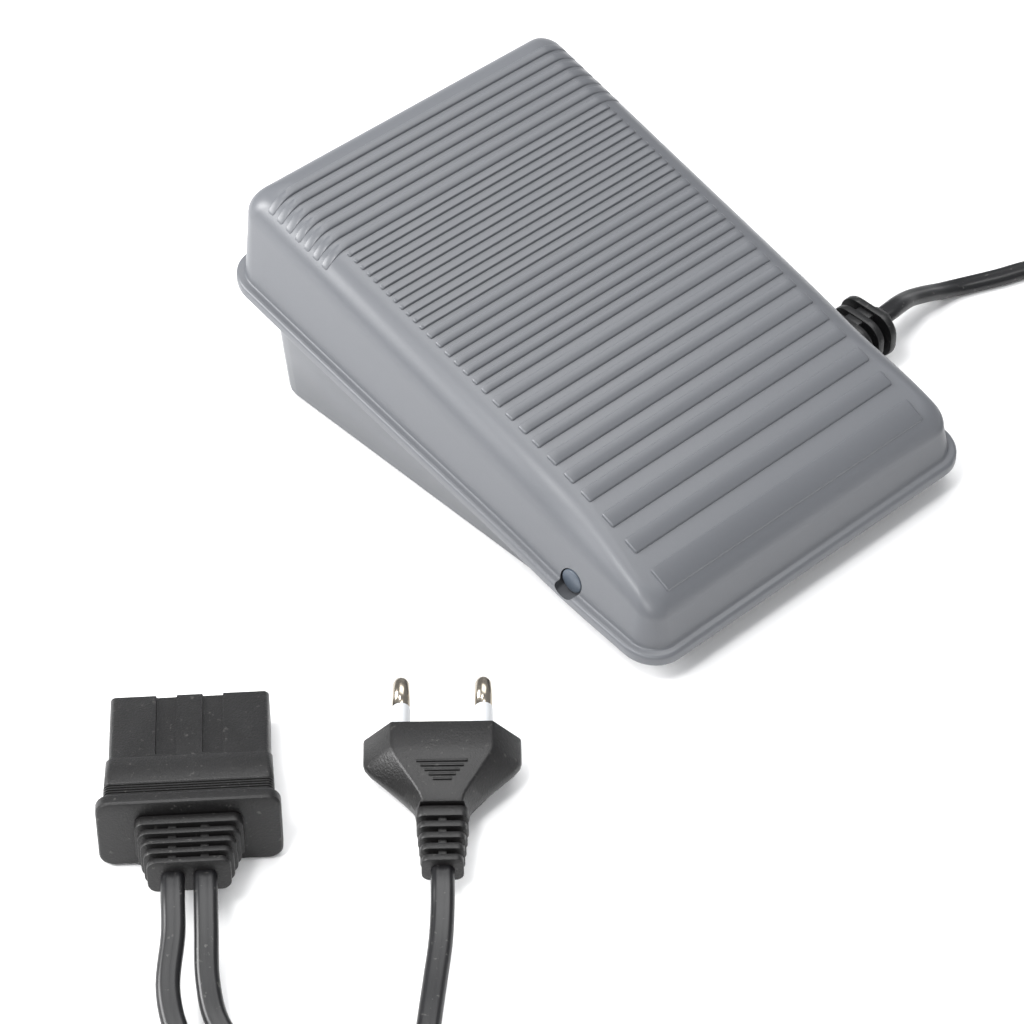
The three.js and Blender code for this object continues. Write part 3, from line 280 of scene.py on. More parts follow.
def tidy_skin(piece, angle=35.0):
    """Outward faces, and shading that is smooth up to an angle in degrees."""
    skin = bmesh.new()
    skin.from_mesh(piece.data)
    bmesh.ops.remove_doubles(skin, verts=skin.verts, dist=1e-7)
    bmesh.ops.recalc_face_normals(skin, faces=skin.faces)
    skin.to_mesh(piece.data)
    skin.free()
    bpy.ops.object.select_all(action="DESELECT")
    piece.select_set(True)
    bpy.context.view_layer.objects.active = piece
    bpy.ops.object.shade_smooth_by_angle(angle=math.radians(angle))
    piece.select_set(False)


def fit(piece, material, body, slot, *stands_for, angle=35.0):
    """Gives a finished piece its material and its body, and hides the plain nodes it stands for; slot is not used.
    """
    tidy_skin(piece, angle)
    piece.data.materials.clear()
    piece.data.materials.append(material)
    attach(piece, body)
    if stands_for:
        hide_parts(*stands_for)


# The connector's own directions: its axis runs from its strain relief to its socket face, a little down.
connector_heading = math.radians(50.7)
connector_tip = -math.asin((9 - 4.75) / (55.5 - 17.5))
connector_height = 9 * math.cos(connector_tip) - 17.5 * math.sin(connector_tip) + 0.05


def laid(x, y, z, heading, tip):
    """Matrix from a lying piece's own axes (width, thickness, length) in metres to the pedal's frame."""
    along = Vector((
        math.cos(heading) * math.cos(tip), math.sin(heading) * math.cos(tip), math.sin(tip)))
    up = Vector((
        -math.cos(heading) * math.sin(tip), -math.sin(heading) * math.sin(tip), math.cos(tip)))
    across = up.cross(along)
    place = Matrix((across, up, along)).transposed().to_4x4()
    place.translation = Vector((x, y, z)) * mm
    return place


connector_place = laid(-170.5, -52, connector_height, connector_heading, connector_tip)


def behind_connector(across, distance, lower=0.0):
    """A point behind the connector's strain relief, in millimetres."""
    point = connector_place @ (Vector((across, 0, -distance)) * mm) / mm
    return (point.x, point.y, point.z - lower)


cord_jacket = moulded("black_pvc_flex", "#0f0f11", 0.37, 0.5, 0.012, drift=0.12, patch=18.0, dust=0.12)

pedal_route = [
    (relief_end - 4, relief_y, relief_height), (relief_end + 0.3, relief_y, relief_height),
    (relief_end + 2.4, relief_y + 0.15, relief_height - 0.05), (81, -26.5, 10.8), (87.1, -24.9, 8.4),
    (93.9, -24.5, 5.8), (100.2, -24.6, 3.3), (105.4, -25.3, 1.95), (111, -27.4, floor_height),
    (117, -29.9, floor_height), (125, -32.8, floor_height),
    (134.5, -38, floor_height), (143.4, -46.7, floor_height), (149.6, -58.5, floor_height),
    (152.9, -71.5, floor_height), (154.3, -85.5, floor_height),
    *wound((113.8, -100.1), 0, 1849),
    (121.3, -140.1, 5.6), (112, -147.6, 4.3), (101, -154.6, 2.6), (82, -164.5, floor_height),
    (58, -174, floor_height), (33, -184, floor_height), (8, -193.5, floor_height), (-18, -202, floor_height),
    (-43, -206.5, floor_height), (-65, -203.5, floor_height), (-82, -195, floor_height),
    (-98, -181.5, floor_height), (-116.4, -164.3, floor_height), (-138.3, -143.8, floor_height),
    (-160.3, -123.4, floor_height), (-173, -111.5, floor_height), (-182, -102.6, floor_height),
    (-187, -96, floor_height), (-188.6, -88.5, floor_height + 0.2), (-187.4, -80.8, 3.2), (-183.4, -73.4, 5.9),
    behind_connector(-3.5, 14, 3.4), behind_connector(-3.5, 6, 0.8), behind_connector(-3.5, 0.3),
    behind_connector(-3.5, -3),
]
pedal_path = smooth_path(pedal_route)
pedal_cord = flat_cord("pedal_cord", pedal_path)
fit(pedal_cord, cord_jacket, "base", "cord_pvc", "pedal_cord_near", "pedal_cord_coil", "pedal_cord_far")

mains_route = [
    behind_connector(3.5, -3), behind_connector(3.5, 0.3), behind_connector(3.5, 6, 0.8),
    behind_connector(3.5, 14, 3.4), (-191.2, -69.8, 5.9), (-195.9, -78.8, 3.2),
    (-197.6, -89.3, floor_height + 0.2), (-195.4, -100.4, floor_height), (-188.4, -111.8, floor_height),
    (-176, -123.8, floor_height), (-161, -137.8, floor_height), (-149.5, -148.5, floor_height),
    *wound((-166.4, -188.5), 47, 2040),
    (-196, -160.5, 5.8), (-193.4, -151.3, 5.7), (-188.4, -143.2, 5.5), (-182, -136, over_cords),
    (-175, -129.4, over_cords), (-168, -123, over_cords), (-161, -116.8, over_cords), (-154, -110.6, 5.1),
    (-147, -104.4, 4.8), (-140, -98.2, 5), (-134, -92.2, 5.9), (-130.4, -88.3, 6.85),
    (-127.7, -85.3, 6.9), (-125.4, -82.7, 6.9),
]
mains_path = smooth_path(mains_route)
mains_cord = flat_cord("mains_cord", mains_path)
fit(mains_cord, cord_jacket, "base", "cord_pvc", "mains_cord_near", "mains_cord_coil", "mains_cord_far")


# ---------------------------------------------------------------- treadle cover
# One injection moulding in grey ABS: a top that slopes down to the low end, drafted sides, a wide soft
# edge and a beaded rim. The mould is spark-eroded, so the plastic has a fine satin grain.

length = 150.0
width = 109.0
top_low = 19.4
top_high = 65.4
rim_low = 6.9
rim_high = 35.4
bend_length = 55.0
bend_radius = 300.0
pivot_y = -46.0
pivot_height = 15.6
top_inset = 3.7
top_fillet = 9.3  # of the top's edge along the sides and the high end
top_fillet_low = 4.6  # and at the low end
cover_wall = 2.0
cover_corner = 9.0
least_corner = 5.0  # of the rings inside the top edge
opening_start = 8.0  # from the low end, where the top edge's fillet starts to open
opening_length = 30.0
bend_drop = bend_length**2 / (2 * bend_radius)
top_slope = (top_high - top_low - bend_drop) / length


def top_at(y):
    from_low = y + length / 2
    return top_low + bend_drop + top_slope * from_low - max(0.0, bend_length - from_low) ** 2 / (2 * bend_radius)


def rim_at(y):
    share = (y + length / 2) / length
    rise = (rim_high - rim_low) * (0.878 * share + 0.122 * share * share)
    return rim_low + rise - math.exp(-(((y - pivot_y) / 16) ** 2))


def rounded_outline(half_x, half_y, radius, corner_steps=12, side_steps=1):
    """Points of a rounded rectangle with their outward normals: right side upwards, then the left side down."""
    right = []
    for centre, start in ((radius - half_y, -math.pi / 2), (half_y - radius, 0.0)):
        if start == 0.0:
            for i in range(1, side_steps):
                right.append((half_x, (radius - half_y) * (1 - 2 * i / side_steps), 1.0, 0.0))
        for i in range(corner_steps + 1):
            angle = start + math.pi / 2 * i / corner_steps
            right.append((
                half_x - radius + radius * math.cos(angle), centre + radius * math.sin(angle),
                math.cos(angle), math.sin(angle)))
    return right + [(-x, y, -nx, ny) for x, y, nx, ny in reversed(right)]


def skin_over(name, rings):
    """Closed mesh over a stack of equal rings, in millimetres; each end is closed straight across."""
    count = len(rings[0])
    faces = [
        (r * count + i, r * count + (i + 1) % count, (r + 1) * count + (i + 1) % count, (r + 1) * count + i)
        for r in range(len(rings) - 1) for i in range(count)]
    for start in (0, (len(rings) - 1) * count):
        faces += [
            (start + i, start + i + 1, start + count - 2 - i, start + count - 1 - i)
            for i in range(count // 2 - 1)]
    mesh = bpy.data.meshes.new(name)
    mesh.from_pydata([tuple(c * mm for c in p) for ring in rings for p in ring], [], faces)
    piece = bpy.data.objects.new(name, mesh)
    bpy.context.scene.collection.objects.link(piece)
    return piece


def cut(piece, cutter):
    """Takes the cutter away from the piece, and removes the cutter."""
    bpy.ops.object.select_all(action="DESELECT")
    bpy.context.view_layer.objects.active = piece
    saw = piece.modifiers.new("cut", "BOOLEAN")
    saw.operation = "DIFFERENCE"
    saw.solver = "EXACT"
    saw.object = cutter
    bpy.ops.object.modifier_apply(modifier=saw.name)
    bpy.data.objects.remove(cutter)


def opening_at(y):
    """How far the top edge's fillet has opened: 0 at the low end, 1 along the rest."""
    share = min(max((y + length / 2 - opening_start) / opening_length, 0.0), 1.0)
    return share * share * (3 - 2 * share)


def fillet_at(y):
    return top_fillet_low + (top_fillet - top_fillet_low) * opening_at(y)


def cover_ring(inset, height, low_inset=None):
    """A ring round the cover, at an inset from the rim's outline; low_inset is its inset at the low end."""
    outlines = [
        rounded_outline(width / 2 - by, length / 2 - by, max(cover_corner - by, least_corner), 12, 40)
        for by in (inset if low_inset is None else low_inset, inset)]
    ring = []
    for low, point in zip(*outlines):
        share = opening_at(low[1])
        x, y = (a + (b - a) * share for a, b in zip(low[:2], point[:2]))
        ring.append((x, y, height(y)))
    return ring


def arc(centre, radius, start, end, steps):
    """Points on an arc, in the plane of inset and rise; the angles are in degrees."""
    return [
        (centre[0] + radius * math.cos(math.radians(a)), centre[1] + radius * math.sin(math.radians(a)))
        for a in np.linspace(start, end, steps + 1)]


cover_rings = []
edge_steps = 14
for i in range(edge_steps, -1, -1):
    angle = math.pi / 2 * i / edge_steps
    across, down = 1 - math.cos(angle), 1 - math.sin(angle)
    cover_rings.append(cover_ring(
        top_inset + top_fillet * across, lambda y: top_at(y) - fillet_at(y) * down,
        top_inset + top_fillet_low * across))
rim_profile = [
    *arc((1.7, 3.6), 0.6, 0, -90, 4),  # the hollow where the wall meets the bead
    *arc((0.9, 2.1), 0.9, 90, 180, 5),
    *arc((0.7, 0.7), 0.7, 180, 270, 4),
    (4.1, 0.0), (4.3, 0.1),
]
for inset, rise in rim_profile:
    cover_rings.append(cover_ring(inset, lambda y: rim_at(y) + rise))
inner_inset = top_inset + cover_wall
inner_steps = 6
for i in range(inner_steps + 1):
    angle = math.pi / 2 * i / inner_steps
    across, down = 1 - math.cos(angle), 1 - math.sin(angle)
    cover_rings.append(cover_ring(
        inner_inset + (top_fillet - cover_wall) * across,
        lambda y: top_at(y) - cover_wall - (fillet_at(y) - cover_wall) * down,
        inner_inset + (top_fillet_low - cover_wall) * across))
treadle_cover = skin_over("treadle_moulding", cover_rings)

for side in (-1, 1):
    bpy.ops.mesh.primitive_cylinder_add(
        vertices=48, radius=3.4 * mm, depth=12 * mm, rotation=(0, math.pi / 2, 0),
        location=(side * (width / 2 - 3) * mm, pivot_y * mm, pivot_height * mm))
    cut(treadle_cover, bpy.context.object)
bpy.ops.mesh.primitive_cube_add(size=1, location=((width / 2 - 3) * mm, relief_y * mm, 11.25 * mm))
notch = bpy.context.object
notch.scale = (10 * mm, 21 * mm, 18.7 * mm)
bpy.ops.object.transform_apply(location=False, rotation=False, scale=True)
cut(treadle_cover, notch)

cover_abs = moulded("grey_abs_spark_grain", "#616367", 0.36, 0.7, 0.01, drift=0.035, patch=60.0)
fit(treadle_cover, cover_abs, "treadle", "cover_plastic", "treadle_cover", angle=32.0)

# ---------------------------------------------------------------- ribs across the treadle
# Raised grip ribs, moulded with the cover. They are wide at the high end, where they wrap over the side
# edges and fade out, fine and close in the middle, and wide towards the low end. Their ends are nearly
# square, with soft corners.

rib_groups = [
    # how many, pitch and width in millimetres, and distance of their ends from the cover's side
    (7, 3.2, 2.0, 6.0), (12, 2.3, 1.35, 11.5), (7, 3.13, 1.9, 11.5), (4, 4.48, 2.6, 11.5),
    (3, 5.7, 3.3, 11.5), (2, 7.6, 3.9, 11.5), (1, 10.4, 5.7, 11.5),
]
rib_from_high = 10.7
rib_from_low = 6.8
rib_field_high = length / 2 - rib_from_high
rib_field = length - rib_from_high - rib_from_low
rib_height = 0.6


def surface_at(x, y):
    """Height of the cover's skin, with its rounded side edges."""
    radius = fillet_at(y)
    height = top_at(y)
    for past in (abs(x) - width / 2 + top_inset + radius, abs(y) - length / 2 + top_inset + radius):
        height -= radius - math.sqrt(radius**2 - min(max(past, 0.0), radius)**2)
    return height


def rib_skin(low, high, half_length):
    """Points and faces of one rib: a low bar with nearly square ends, that follows the skin under it."""
    middle, half = (low + high) / 2, (high - low) / 2
    end_round = 0.5
    starts = [end_round * (1 - math.cos(math.pi / 2 * i / 6)) for i in range(7)]
    over_edge = list(np.arange(end_round + 0.6, 9.0, 0.7))
    inward = starts + over_edge + [15.0, half_length - 12.0]
    stations = [-half_length + d for d in inward] + [half_length - d for d in reversed(inward)]
    section = [
        (-1.0, -0.35), (-1.0, 0.45), (-0.93, 0.8), (-0.8, 1.0), (0.8, 1.0), (0.93, 0.8), (1.0, 0.45), (1.0, -0.35)]
    points = []
    for x in stations:
        near = min(half_length - abs(x), end_round)
        share = math.sqrt(max(0.0, 1 - (1 - near / end_round) ** 2))
        reach = half - end_round + end_round * max(share, 0.12)
        past = max(abs(x) - (width / 2 - top_inset - fillet_at(middle)), 0.0)
        crown = rib_height * (0.35 + 0.65 * share) * (1 - 0.7 * min(past / 5.5, 1.0))
        soft = 0.2 / max(reach, 0.3)
        for across, up in section:
            edge = math.copysign(1 - (1 - abs(across)) * min(1.0, soft * 5), across)
            y = middle + edge * reach
            points.append((x, y, surface_at(x, y) + crown * up))
    count = len(section)
    faces = [
        (r * count + i, r * count + (i + 1) % count, (r + 1) * count + (i + 1) % count, (r + 1) * count + i)
        for r in range(len(stations) - 1) for i in range(count)]
    faces.append(tuple(range(count)))
    faces.append(tuple((len(stations) - 1) * count + i for i in reversed(range(count))))
    return points, faces


stretch = rib_field / sum(count * pitch for count, pitch, _, _ in rib_groups)
rib_points, rib_faces = [], []
edge_low = rib_field_high
for count, pitch, rib, margin in rib_groups:
    for _ in range(count):
        edge_low -= pitch * stretch
        points, faces = rib_skin(edge_low, edge_low + rib * stretch, width / 2 - margin)
        rib_faces += [tuple(len(rib_points) + i for i in face) for face in faces]
        rib_points += points
rib_mesh = bpy.data.meshes.new("treadle_ribs")
rib_mesh.from_pydata([tuple(c * mm for c in p) for p in rib_points], [], rib_faces)
treadle_ribs = bpy.data.objects.new("treadle_ribs", rib_mesh)
bpy.context.scene.collection.objects.link(treadle_ribs)
# The ribs are the same ABS as the cover, painted a little darker than it as painted shade; their grain is a little
# shallower.
rib_shaded_abs = moulded("grey_abs_rib_painted_shade", "#5f6165", 0.36, 0.7, 0.008, drift=0.04, patch=60.0)
fit(treadle_ribs, rib_shaded_abs, "treadle", "cover_plastic", angle=40.0)

# ---------------------------------------------------------------- base tray, feet and pivot pins
# The tray is a second grey ABS moulding, a little darker. Four black rubber feet sit in its underside,
# and a smooth pin in each side carries the treadle.


def refined(node, name, bevel=0.0):
    """A copy of a plain node's mesh with its vertices merged and, if asked, its edges rounded."""
    piece = bpy.data.objects.new(name, nodes[node].data.copy())
    bpy.context.scene.collection.objects.link(piece)
    bpy.ops.object.select_all(action="DESELECT")
    piece.select_set(True)
    bpy.context.view_layer.objects.active = piece
    bpy.ops.object.mode_set(mode="EDIT")
    bpy.ops.mesh.select_all(action="SELECT")
    bpy.ops.mesh.remove_doubles(threshold=1e-6)
    if bevel:
        bpy.ops.mesh.dissolve_limited(angle_limit=math.radians(0.5))
    bpy.ops.object.mode_set(mode="OBJECT")
    if bevel:
        rounding = piece.modifiers.new("edges", "BEVEL")
        rounding.width = bevel * mm
        rounding.segments = 2
        rounding.limit_method = "ANGLE"
        rounding.angle_limit = math.radians(30)
        bpy.ops.object.modifier_apply(modifier=rounding.name)
    piece.select_set(False)
    return piece


base_abs = moulded("grey_abs_tray", "#606266", 0.38, 0.7, 0.01, drift=0.035, patch=60.0)
pin_plastic = moulded("blue_grey_acetal", "#4b535d", 0.4, 0.4, 0.006, drift=0.03)
foot_rubber = moulded("black_rubber", "#1c1c1d", 0.75, 0.4, 0.03, drift=0.1, dust=0.25)
fit(refined("base_tray", "tray_moulding"), base_abs, "base", "base_plastic", "base_tray", angle=28.0)
for side in ("left", "right"):
    fit(
        refined(f"pivot_pin_{side}", f"pivot_pin_smooth_{side}", bevel=0.25), pin_plastic, "base", "pin_plastic",
        f"pivot_pin_{side}", angle=40.0)
for i in range(1, 5):
    fit(
        refined(f"rubber_foot_{i}", f"foot_pad_{i}"), foot_rubber, "base", "rubber", f"rubber_foot_{i}", angle=25.0)

# ---------------------------------------------------------------- return spring
# Round steel wire, wound cold into an open coil. It stands in a collar of the tray and pushes the treadle
# up. It shortens as the treadle goes down, but it is drawn here at one length, up to the top of the plain spring.

spring_y = 48.0
spring_foot = 3.7
spring_wire = 0.7
spring_radius = 7.0
spring_low = spring_foot + spring_wire
spring_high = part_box("return_spring")[1].z / mm - spring_wire
spring_turns = 9
wire_steps = spring_turns * 36
wire_points = []
for i in range(wire_steps + 1):
    share = i / wire_steps
    angle = 2 * math.pi * spring_turns * share
    height = spring_low + (spring_high - spring_low) * share
    radial = Vector((math.cos(angle), math.sin(angle), 0))
    centre = Vector((0, spring_y, height)) + radial * spring_radius
    for k in range(10):
        turn = 2 * math.pi * k / 10
        upright = Vector((0, 0, spring_wire * math.sin(turn)))
        wire_points.append((centre + radial * spring_wire * math.cos(turn) + upright) * mm)
wire_faces = [
    (r * 10 + k, r * 10 + (k + 1) % 10, (r + 1) * 10 + (k + 1) % 10, (r + 1) * 10 + k)
    for r in range(wire_steps) for k in range(10)]
wire_faces += [tuple(range(10)), tuple(wire_steps * 10 + k for k in reversed(range(10)))]
spring_mesh = bpy.data.meshes.new("coil_spring")
spring_mesh.from_pydata([tuple(p) for p in wire_points], [], wire_faces)
coil_spring = bpy.data.objects.new("coil_spring", spring_mesh)
bpy.context.scene.collection.objects.link(coil_spring)


def metal(name, colour, roughness, scratch=0.4, depth=0.002):
    """Bare or plated metal with fine drawing marks; scratch is their spacing in millimetres."""
    material = bpy.data.materials.new(name)
    material.use_nodes = True
    shader = material.node_tree.nodes["Principled BSDF"]
    place = add_node(material, "ShaderNodeTexCoord").outputs["Object"]
    marks = add_node(material, "ShaderNodeTexNoise", {"Vector": place, "Scale": 1 / (scratch * mm), "Detail": 4.0})
    tint = [v * 0.88 for v in linear(colour)[:3]] + [1.0]
    paint = add_node(
        material, "ShaderNodeMix", {0: marks.outputs["Fac"], 6: tint, 7: linear(colour)}, data_type="RGBA")
    material.node_tree.links.new(paint.outputs[2], shader.inputs["Base Color"])
    shine = add_node(
        material, "ShaderNodeMapRange",
        {"Value": marks.outputs["Fac"], "From Min": 0.3, "From Max": 0.7, "To Min": roughness * 0.8,
         "To Max": roughness * 1.25})
    material.node_tree.links.new(shine.outputs[0], shader.inputs["Roughness"])
    bump = add_node(material, "ShaderNodeBump", {"Height": marks.outputs["Fac"], "Distance": depth * mm})
    material.node_tree.links.new(bump.outputs[0], shader.inputs["Normal"])
    shader.inputs["Metallic"].default_value = 1.0
    return material


spring_steel = metal("zinc_plated_steel", "#bfc2c5", 0.28)
fit(coil_spring, spring_steel, "base", "steel", "return_spring", angle=60.0)
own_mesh(coil_spring)

# ---------------------------------------------------------------- cord strain relief at the pedal
# Soft black PVC, moulded round the cord: stadium-shaped plates with slots between them, so that it bends
# without kinking, held in the tray's wall by a neck.

soft_pvc = moulded("soft_black_pvc", "#0e0e0f", 0.42, 0.45, 0.03, drift=0.12, dust=0.1)


def stadium_ring(z, half_x, half_y, radius, steps=8):
    return [(x, y, z) for x, y, _, _ in rounded_outline(half_x, half_y, radius, steps)]


def plate_rings(start, end, half_x, half_y, radius, edge=0.35):
    """Rings of a plate with softly rounded edges."""
    rings = []
    near = edge * 0.3
    for z, shrink in (
            (start, edge), (start + near, near), (start + edge, 0.0), (end - edge, 0.0), (end - near, near),
            (end, edge)):
        rings.append(stadium_ring(z, half_x - shrink, half_y - shrink, radius - shrink * 0.5))
    return rings


def joined(name, parts):
    """One object from several."""
    bpy.ops.object.select_all(action="DESELECT")
    for part in parts:
        part.select_set(True)
    bpy.context.view_layer.objects.active = parts[0]
    if len(parts) > 1:
        bpy.ops.object.join()
    parts[0].name = name
    parts[0].data.name = name
    return parts[0]


def block(low, high, edge=0.2):
    """A block between two corners, in millimetres, with rounded edges."""
    low, high = Vector(low), Vector(high)
    bpy.ops.mesh.primitive_cube_add(size=1, location=(low + high) / 2 * mm)
    piece = bpy.context.object
    piece.scale = (high - low) * mm
    bpy.ops.object.transform_apply(location=True, rotation=False, scale=True)
    rounding = piece.modifiers.new("edges", "BEVEL")
    rounding.width = edge * mm
    rounding.segments = 2
    bpy.ops.object.modifier_apply(modifier=rounding.name)
    return piece


relief_half = (8.7, 6.3)
tray_lean = 1 / 11.2  # the tray's wall leans out by this much per millimetre of height
wall_middle = 46.1 + (relief_height - 1.2) * tray_lean
wall_outer = wall_middle + relief_half[1] * tray_lean
wall_inner = wall_middle - relief_half[1] * tray_lean - 2.5
relief_last = width / 2 + 17
relief_parts = [
    skin_over("relief_core", [
        stadium_ring(z, hx, hy, r) for z, hx, hy, r in (
            (wall_inner - 12.8, 2.6, 1.6, 1.4), (wall_inner - 1.8, 2.6, 1.6, 1.4), (wall_inner - 1.7, 6.6, 4.7, 3.0),
            (wall_outer + 0.5, 6.6, 4.7, 3.0), (wall_outer + 0.6, 3.4, 2.6, 2.0), (relief_last - 1, 3.4, 2.6, 2.0),
            (relief_last + 1.0, 3.7, 2.5, 2.2), (relief_end - 0.2, 3.2, 2.1, 1.9), (relief_end, 3.0, 1.9, 1.8))]),
    skin_over("relief_collar", plate_rings(wall_inner - 1.7, wall_inner, *relief_half, 4.0)),
]
plates = 6
relief_pitch = (relief_last - wall_outer - 0.6) / plates
for i in range(plates):
    start = wall_outer + 0.6 + i * relief_pitch
    slim = 0.0 if i + 1 == plates else 0.5
    plate = plate_rings(start, start + 2.1, relief_half[0] - slim, relief_half[1] - slim, 5.0)
    relief_parts.append(skin_over("relief_plate", plate))
    if i + 1 < plates:
        web = relief_half[1] - slim - 0.3
        relief_parts.append(block((-2.3, -web, start + 1.8), (2.3, web, start + relief_pitch + 0.3)))
strain_relief = joined("strain_relief_slotted", relief_parts)
strain_relief.data.transform(Matrix((
    (0, 0, 1, 0), (1, 0, 0, relief_y * mm), (0, 1, 0, relief_height * mm), (0, 0, 0, 1))))
fit(strain_relief, soft_pvc, "base", "black_pvc", "strain_relief", angle=35.0)

# ---------------------------------------------------------------- machine connector
# A moulded charcoal PVC connector with three sockets in a flat head, two channels down each broad face,
# a collar, a finely ribbed grip, a flange for the fingers and a slotted strain relief for both cords.

connector_pvc = moulded("charcoal_pvc_grain", "#0d0c0c", 0.42, 0.5, 0.11, drift=0.16, dust=0.1)


def section_rings(sections, steps=6):
    return [stadium_ring(z, hx, hy, r, steps) for z, hx, hy, r in sections]


grip_ribs = []
grip_low, grip_high, grip_count = 18.9, 24.5, 7
for i in range(grip_count):
    start = grip_low + (grip_high - grip_low) * i / grip_count
    pitch = (grip_high - grip_low) / grip_count
    for share, proud in ((0.0, 0.0), (0.18, 0.42), (0.62, 0.42), (0.8, 0.0)):
        grip_ribs.append((start + pitch * share, 18.2 + proud, 5.65 + proud, 1.6))
connector_body = skin_over("connector_moulding", section_rings([
    (14.3, 19.2, 8.1, 2.6), (14.45, 19.7, 8.6, 2.9), (14.9, 20.05, 8.95, 3.1), (17.0, 20.1, 9.0, 3.1),
    (17.35, 19.95, 8.85, 3.0), (17.5, 19.7, 8.6, 2.9), (17.75, 19.2, 7.6, 2.7), (18.1, 18.75, 6.6, 2.3),
    (18.55, 18.4, 6.0, 1.9), *grip_ribs, (24.5, 18.2, 5.65, 1.6), (24.65, 18.5, 5.85, 1.6),
    (24.9, 18.6, 5.95, 1.6), (33.1, 18.4, 5.7, 1.6),
    (33.4, 18.25, 5.55, 1.6), (33.5, 18.0, 5.3, 1.5), (33.55, 17.85, 4.95, 1.3), (33.9, 17.85, 4.75, 1.2),
    (55.1, 17.85, 4.75, 1.2), (55.4, 17.7, 4.6, 1.1), (55.5, 17.5, 4.4, 1.0),
]))
socket_pitch = 10.4
for place in (-1, 0, 1):
    bpy.ops.mesh.primitive_cube_add(size=1, location=(place * socket_pitch * mm, 0, 55.3 * mm))
    window = bpy.context.object
    window.scale = (9.0 * mm, 6.7 * mm, 2.4 * mm)
    bpy.ops.object.transform_apply(location=False, rotation=False, scale=True)
    cut(connector_body, window)
    bpy.ops.mesh.primitive_cylinder_add(
        vertices=40, radius=3.3 * mm, depth=17 * mm, location=(place * socket_pitch * mm, 0, 48 * mm))
    cut(connector_body, bpy.context.object)
for side in (-1, 1):
    for place in (-socket_pitch / 2, socket_pitch / 2):
        deep = sorted((side * 3.9, side * 5.5))
        channel = block((place - 2.3, deep[0], 35.0), (place + 2.3, deep[1], 57.0), edge=0.25)
        cut(connector_body, channel)
connector_body.data.transform(connector_place)
fit(connector_body, connector_pvc, "base", "charcoal_pvc", "connector_body", angle=33.0)


def slotted_relief(name, end, count, from_half, to_half, bridges, radius=2.2):
    """A bend relief of plates with slots between them, and small bridges across each slot."""
    core = [(0.1, from_half[0] - 1.9, from_half[1] - 1.7, 1.6), (end, to_half[0] - 1.9, to_half[1] - 1.7, 1.6)]
    parts = [skin_over(name, section_rings(core))]
    pitch = end / count
    for i in range(count):
        share = i / (count - 1)
        half_x, half_y = (a + (b - a) * share for a, b in zip(from_half, to_half))
        start = i * pitch
        stop = start + pitch * 0.6 if i + 1 < count else end
        parts.append(skin_over(name, plate_rings(start, stop, half_x, half_y, radius, edge=0.25)))
        if i + 1 < count:
            for at in bridges:
                for side in (-1, 1):
                    reach = sorted((side * (half_y - 1.9), side * (half_y - 0.55)))
                    parts.append(block(
                        (at - 0.9, reach[0], stop - 0.2), (at + 0.9, reach[1], start + pitch + 0.2)))
    return joined(name, parts)


connector_relief = slotted_relief("connector_relief_slotted", 14.0, 5, (9.0, 4.2), (11.8, 5.4), (-3.5, 3.5))
connector_relief.data.transform(connector_place)
fit(connector_relief, connector_pvc, "base", "charcoal_pvc", "connector_strain_relief")

# ---------------------------------------------------------------- mains plug
# A flat two-pin plug in charcoal PVC: six-sided at its face, with a pointed parting line at the sides,
# and drawn in to a narrow ribbed relief. The pins are nickel-plated brass, half covered by white nylon.

plug_pvc = moulded("plug_pvc_grain", "#0f0e0e", 0.44, 0.5, 0.1, drift=0.15, dust=0.08)
plug_place = laid(-127.4, -85, 6.9, math.radians(47.9), 0.0)


def plug_ring(z, half_x, half_y, flat):
    right = [(half_x * flat, -half_y), (half_x, -0.7), (half_x, 0.7), (half_x * flat, half_y)]
    return [(x, y, z) for x, y in right] + [(-x, y, z) for x, y in reversed(right)]


plug_body = skin_over("plug_moulding", [plug_ring(*values) for values in (
    (15.3, 5.9, 4.6, 0.74), (16.6, 6.1, 4.75, 0.74), (18.4, 7.0, 4.95, 0.72), (20.6, 8.9, 5.3, 0.7),
    (23.0, 11.3, 5.75, 0.68), (25.6, 13.9, 6.25, 0.66), (28.0, 16.2, 6.65, 0.65), (29.6, 17.3, 6.83, 0.64),
    (30.8, 17.6, 6.85, 0.64), (38.0, 17.65, 6.85, 0.64),
)])
bpy.ops.object.select_all(action="DESELECT")
bpy.context.view_layer.objects.active = plug_body
plug_edges = plug_body.modifiers.new("edges", "BEVEL")
plug_edges.width = 0.55 * mm
plug_edges.segments = 3
plug_edges.limit_method = "ANGLE"
plug_edges.angle_limit = math.radians(24)
bpy.ops.object.modifier_apply(modifier=plug_edges.name)
plug_parts = [plug_body]
for i in range(5):
    z = 26.2 - i * 1.15
    half = 5.7 - i * 0.9
    for side in (-1, 1):
        face = side * (6.3 - (26.2 - z) * 0.19)
        reach = sorted((face - 0.5 * side, face + 0.42 * side))
        plug_parts.append(block((-half, reach[0], z - 0.3), (half, reach[1], z + 0.3), edge=0.15))
plug_body = joined("plug_moulding", plug_parts)
for side in (-1, 1):
    bpy.ops.mesh.primitive_cylinder_add(
        vertices=32, radius=1.8 * mm, depth=12 * mm, location=(side * 9.3 * mm, 0, 34 * mm))
    cut(plug_body, bpy.context.object)
plug_body.data.transform(plug_place)
fit(plug_body, plug_pvc, "base", "plug_pvc", "plug_body", angle=28.0)

plug_relief = slotted_relief("plug_relief_slotted", 15.0, 5, (4.6, 3.4), (5.7, 4.3), (0.0,), radius=1.8)
plug_relief.data.transform(plug_place)
fit(plug_relief, plug_pvc, "base", "plug_pvc", "plug_strain_relief")

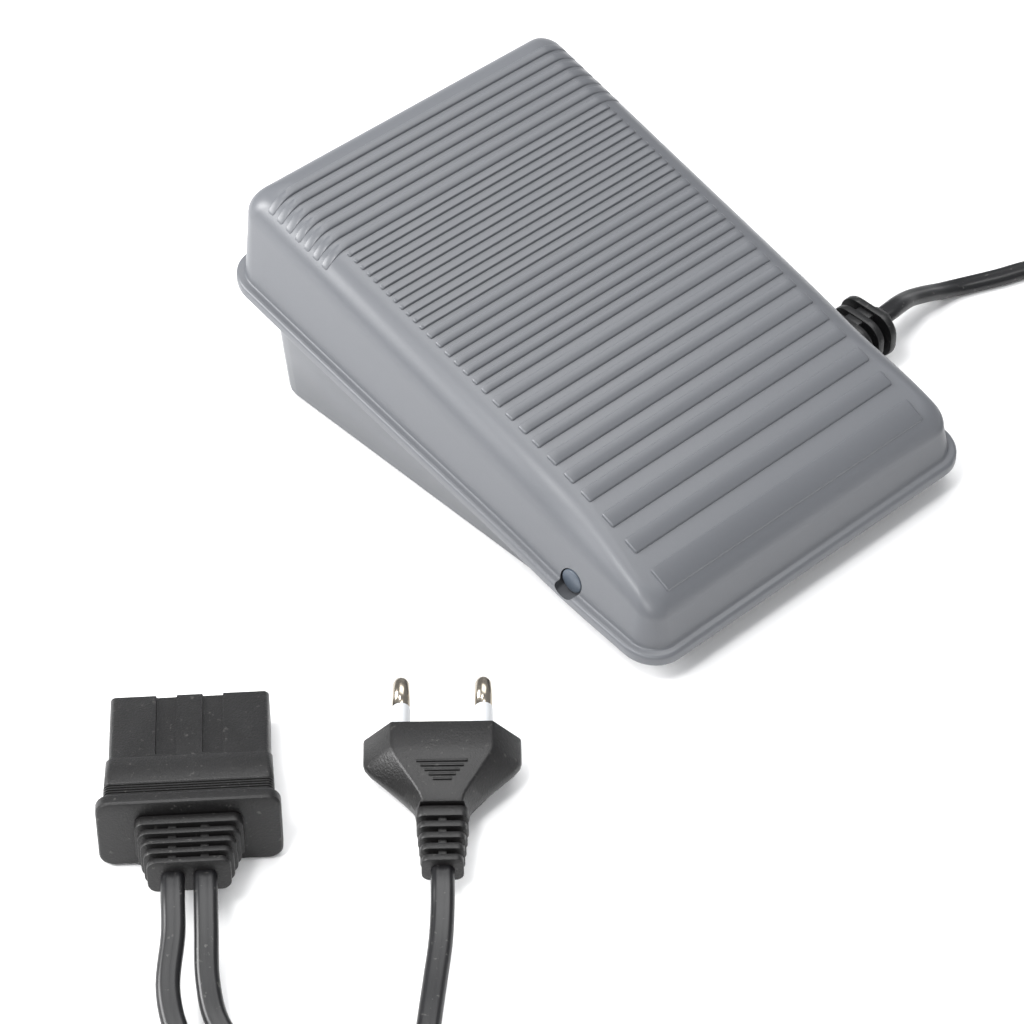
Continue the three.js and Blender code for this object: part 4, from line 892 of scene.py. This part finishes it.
nickel = metal("nickel_plated_brass", "#a79f92", 0.21, depth=0.001)
white_nylon = moulded("white_nylon", "#c4c6c8", 0.38, 0.5, 0.006, drift=0.02)
pins = []
for side in ("left", "right"):
    pin = refined(f"plug_pin_{side}", f"contact_pin_{side}")
    fit(pin, nickel, "base", "nickel", f"plug_pin_{side}", angle=50.0)
    sleeve = refined(f"pin_sleeve_{side}", f"insulating_sleeve_{side}")
    fit(sleeve, white_nylon, "base", "white_plastic", f"pin_sleeve_{side}", angle=50.0)
    pins += [pin, sleeve]

# ---------------------------------------------------------------- what is on each cord
# The pedal's cord ends in the connector, and the mains cord runs from the connector to the plug, as their routes
# above are drawn.


# ---------------------------------------------------------------- the pieces inside
# The board is paper phenolic, and its parts are moulded, wound or sawn. They keep their plain shapes,
# because the closed case hides them, and each takes the finish of what it is made of.

finishes = {
    "rubber": foot_rubber,
    "base_plastic": base_abs,
    "steel": spring_steel,
    "black_pvc": soft_pvc,
    "white_plastic": white_nylon,
    "brass": metal("plain_brass", "#c79a4b", 0.3),
    "aluminium": metal("sawn_aluminium", "#b8bbbe", 0.42, scratch=0.8, depth=0.01),
    "copper": metal("enamelled_copper", "#b5652f", 0.3, scratch=0.5, depth=0.03),
    "circuit_board": moulded("paper_phenolic", "#b88a4a", 0.55, 0.8, 0.01, drift=0.12),
    "black_epoxy": moulded("epoxy_compound", "#1b1b1d", 0.5, 0.3, 0.01),
    "ferrite": moulded("sintered_ferrite", "#3a3a3d", 0.62, 0.4, 0.03, drift=0.15),
    "yellow_film": moulded("boxed_film", "#c9a23a", 0.35, 0.6, 0.004),
    "ceramic": moulded("cement_resistor_body", "#d9d6cc", 0.7, 0.5, 0.04, drift=0.08),
    "blue_plastic": moulded("blue_polyester", "#2c5f9e", 0.38, 0.6, 0.005),
    "green_plastic": moulded("green_polyamide", "#3f7d4c", 0.42, 0.5, 0.01),
    "brown_wire": moulded("brown_pvc_insulation", "#6b4226", 0.4, 0.6, 0.004),
    "blue_wire": moulded("blue_pvc_insulation", "#2f66b0", 0.4, 0.6, 0.004),
}
slots = {row["node"]: row["material_slot"] for row in frame["record"]["subparts"]}
for name, node in nodes.items():
    if not node.hide_render:
        for holder in node.material_slots:
            holder.material = finishes[slots[name]]
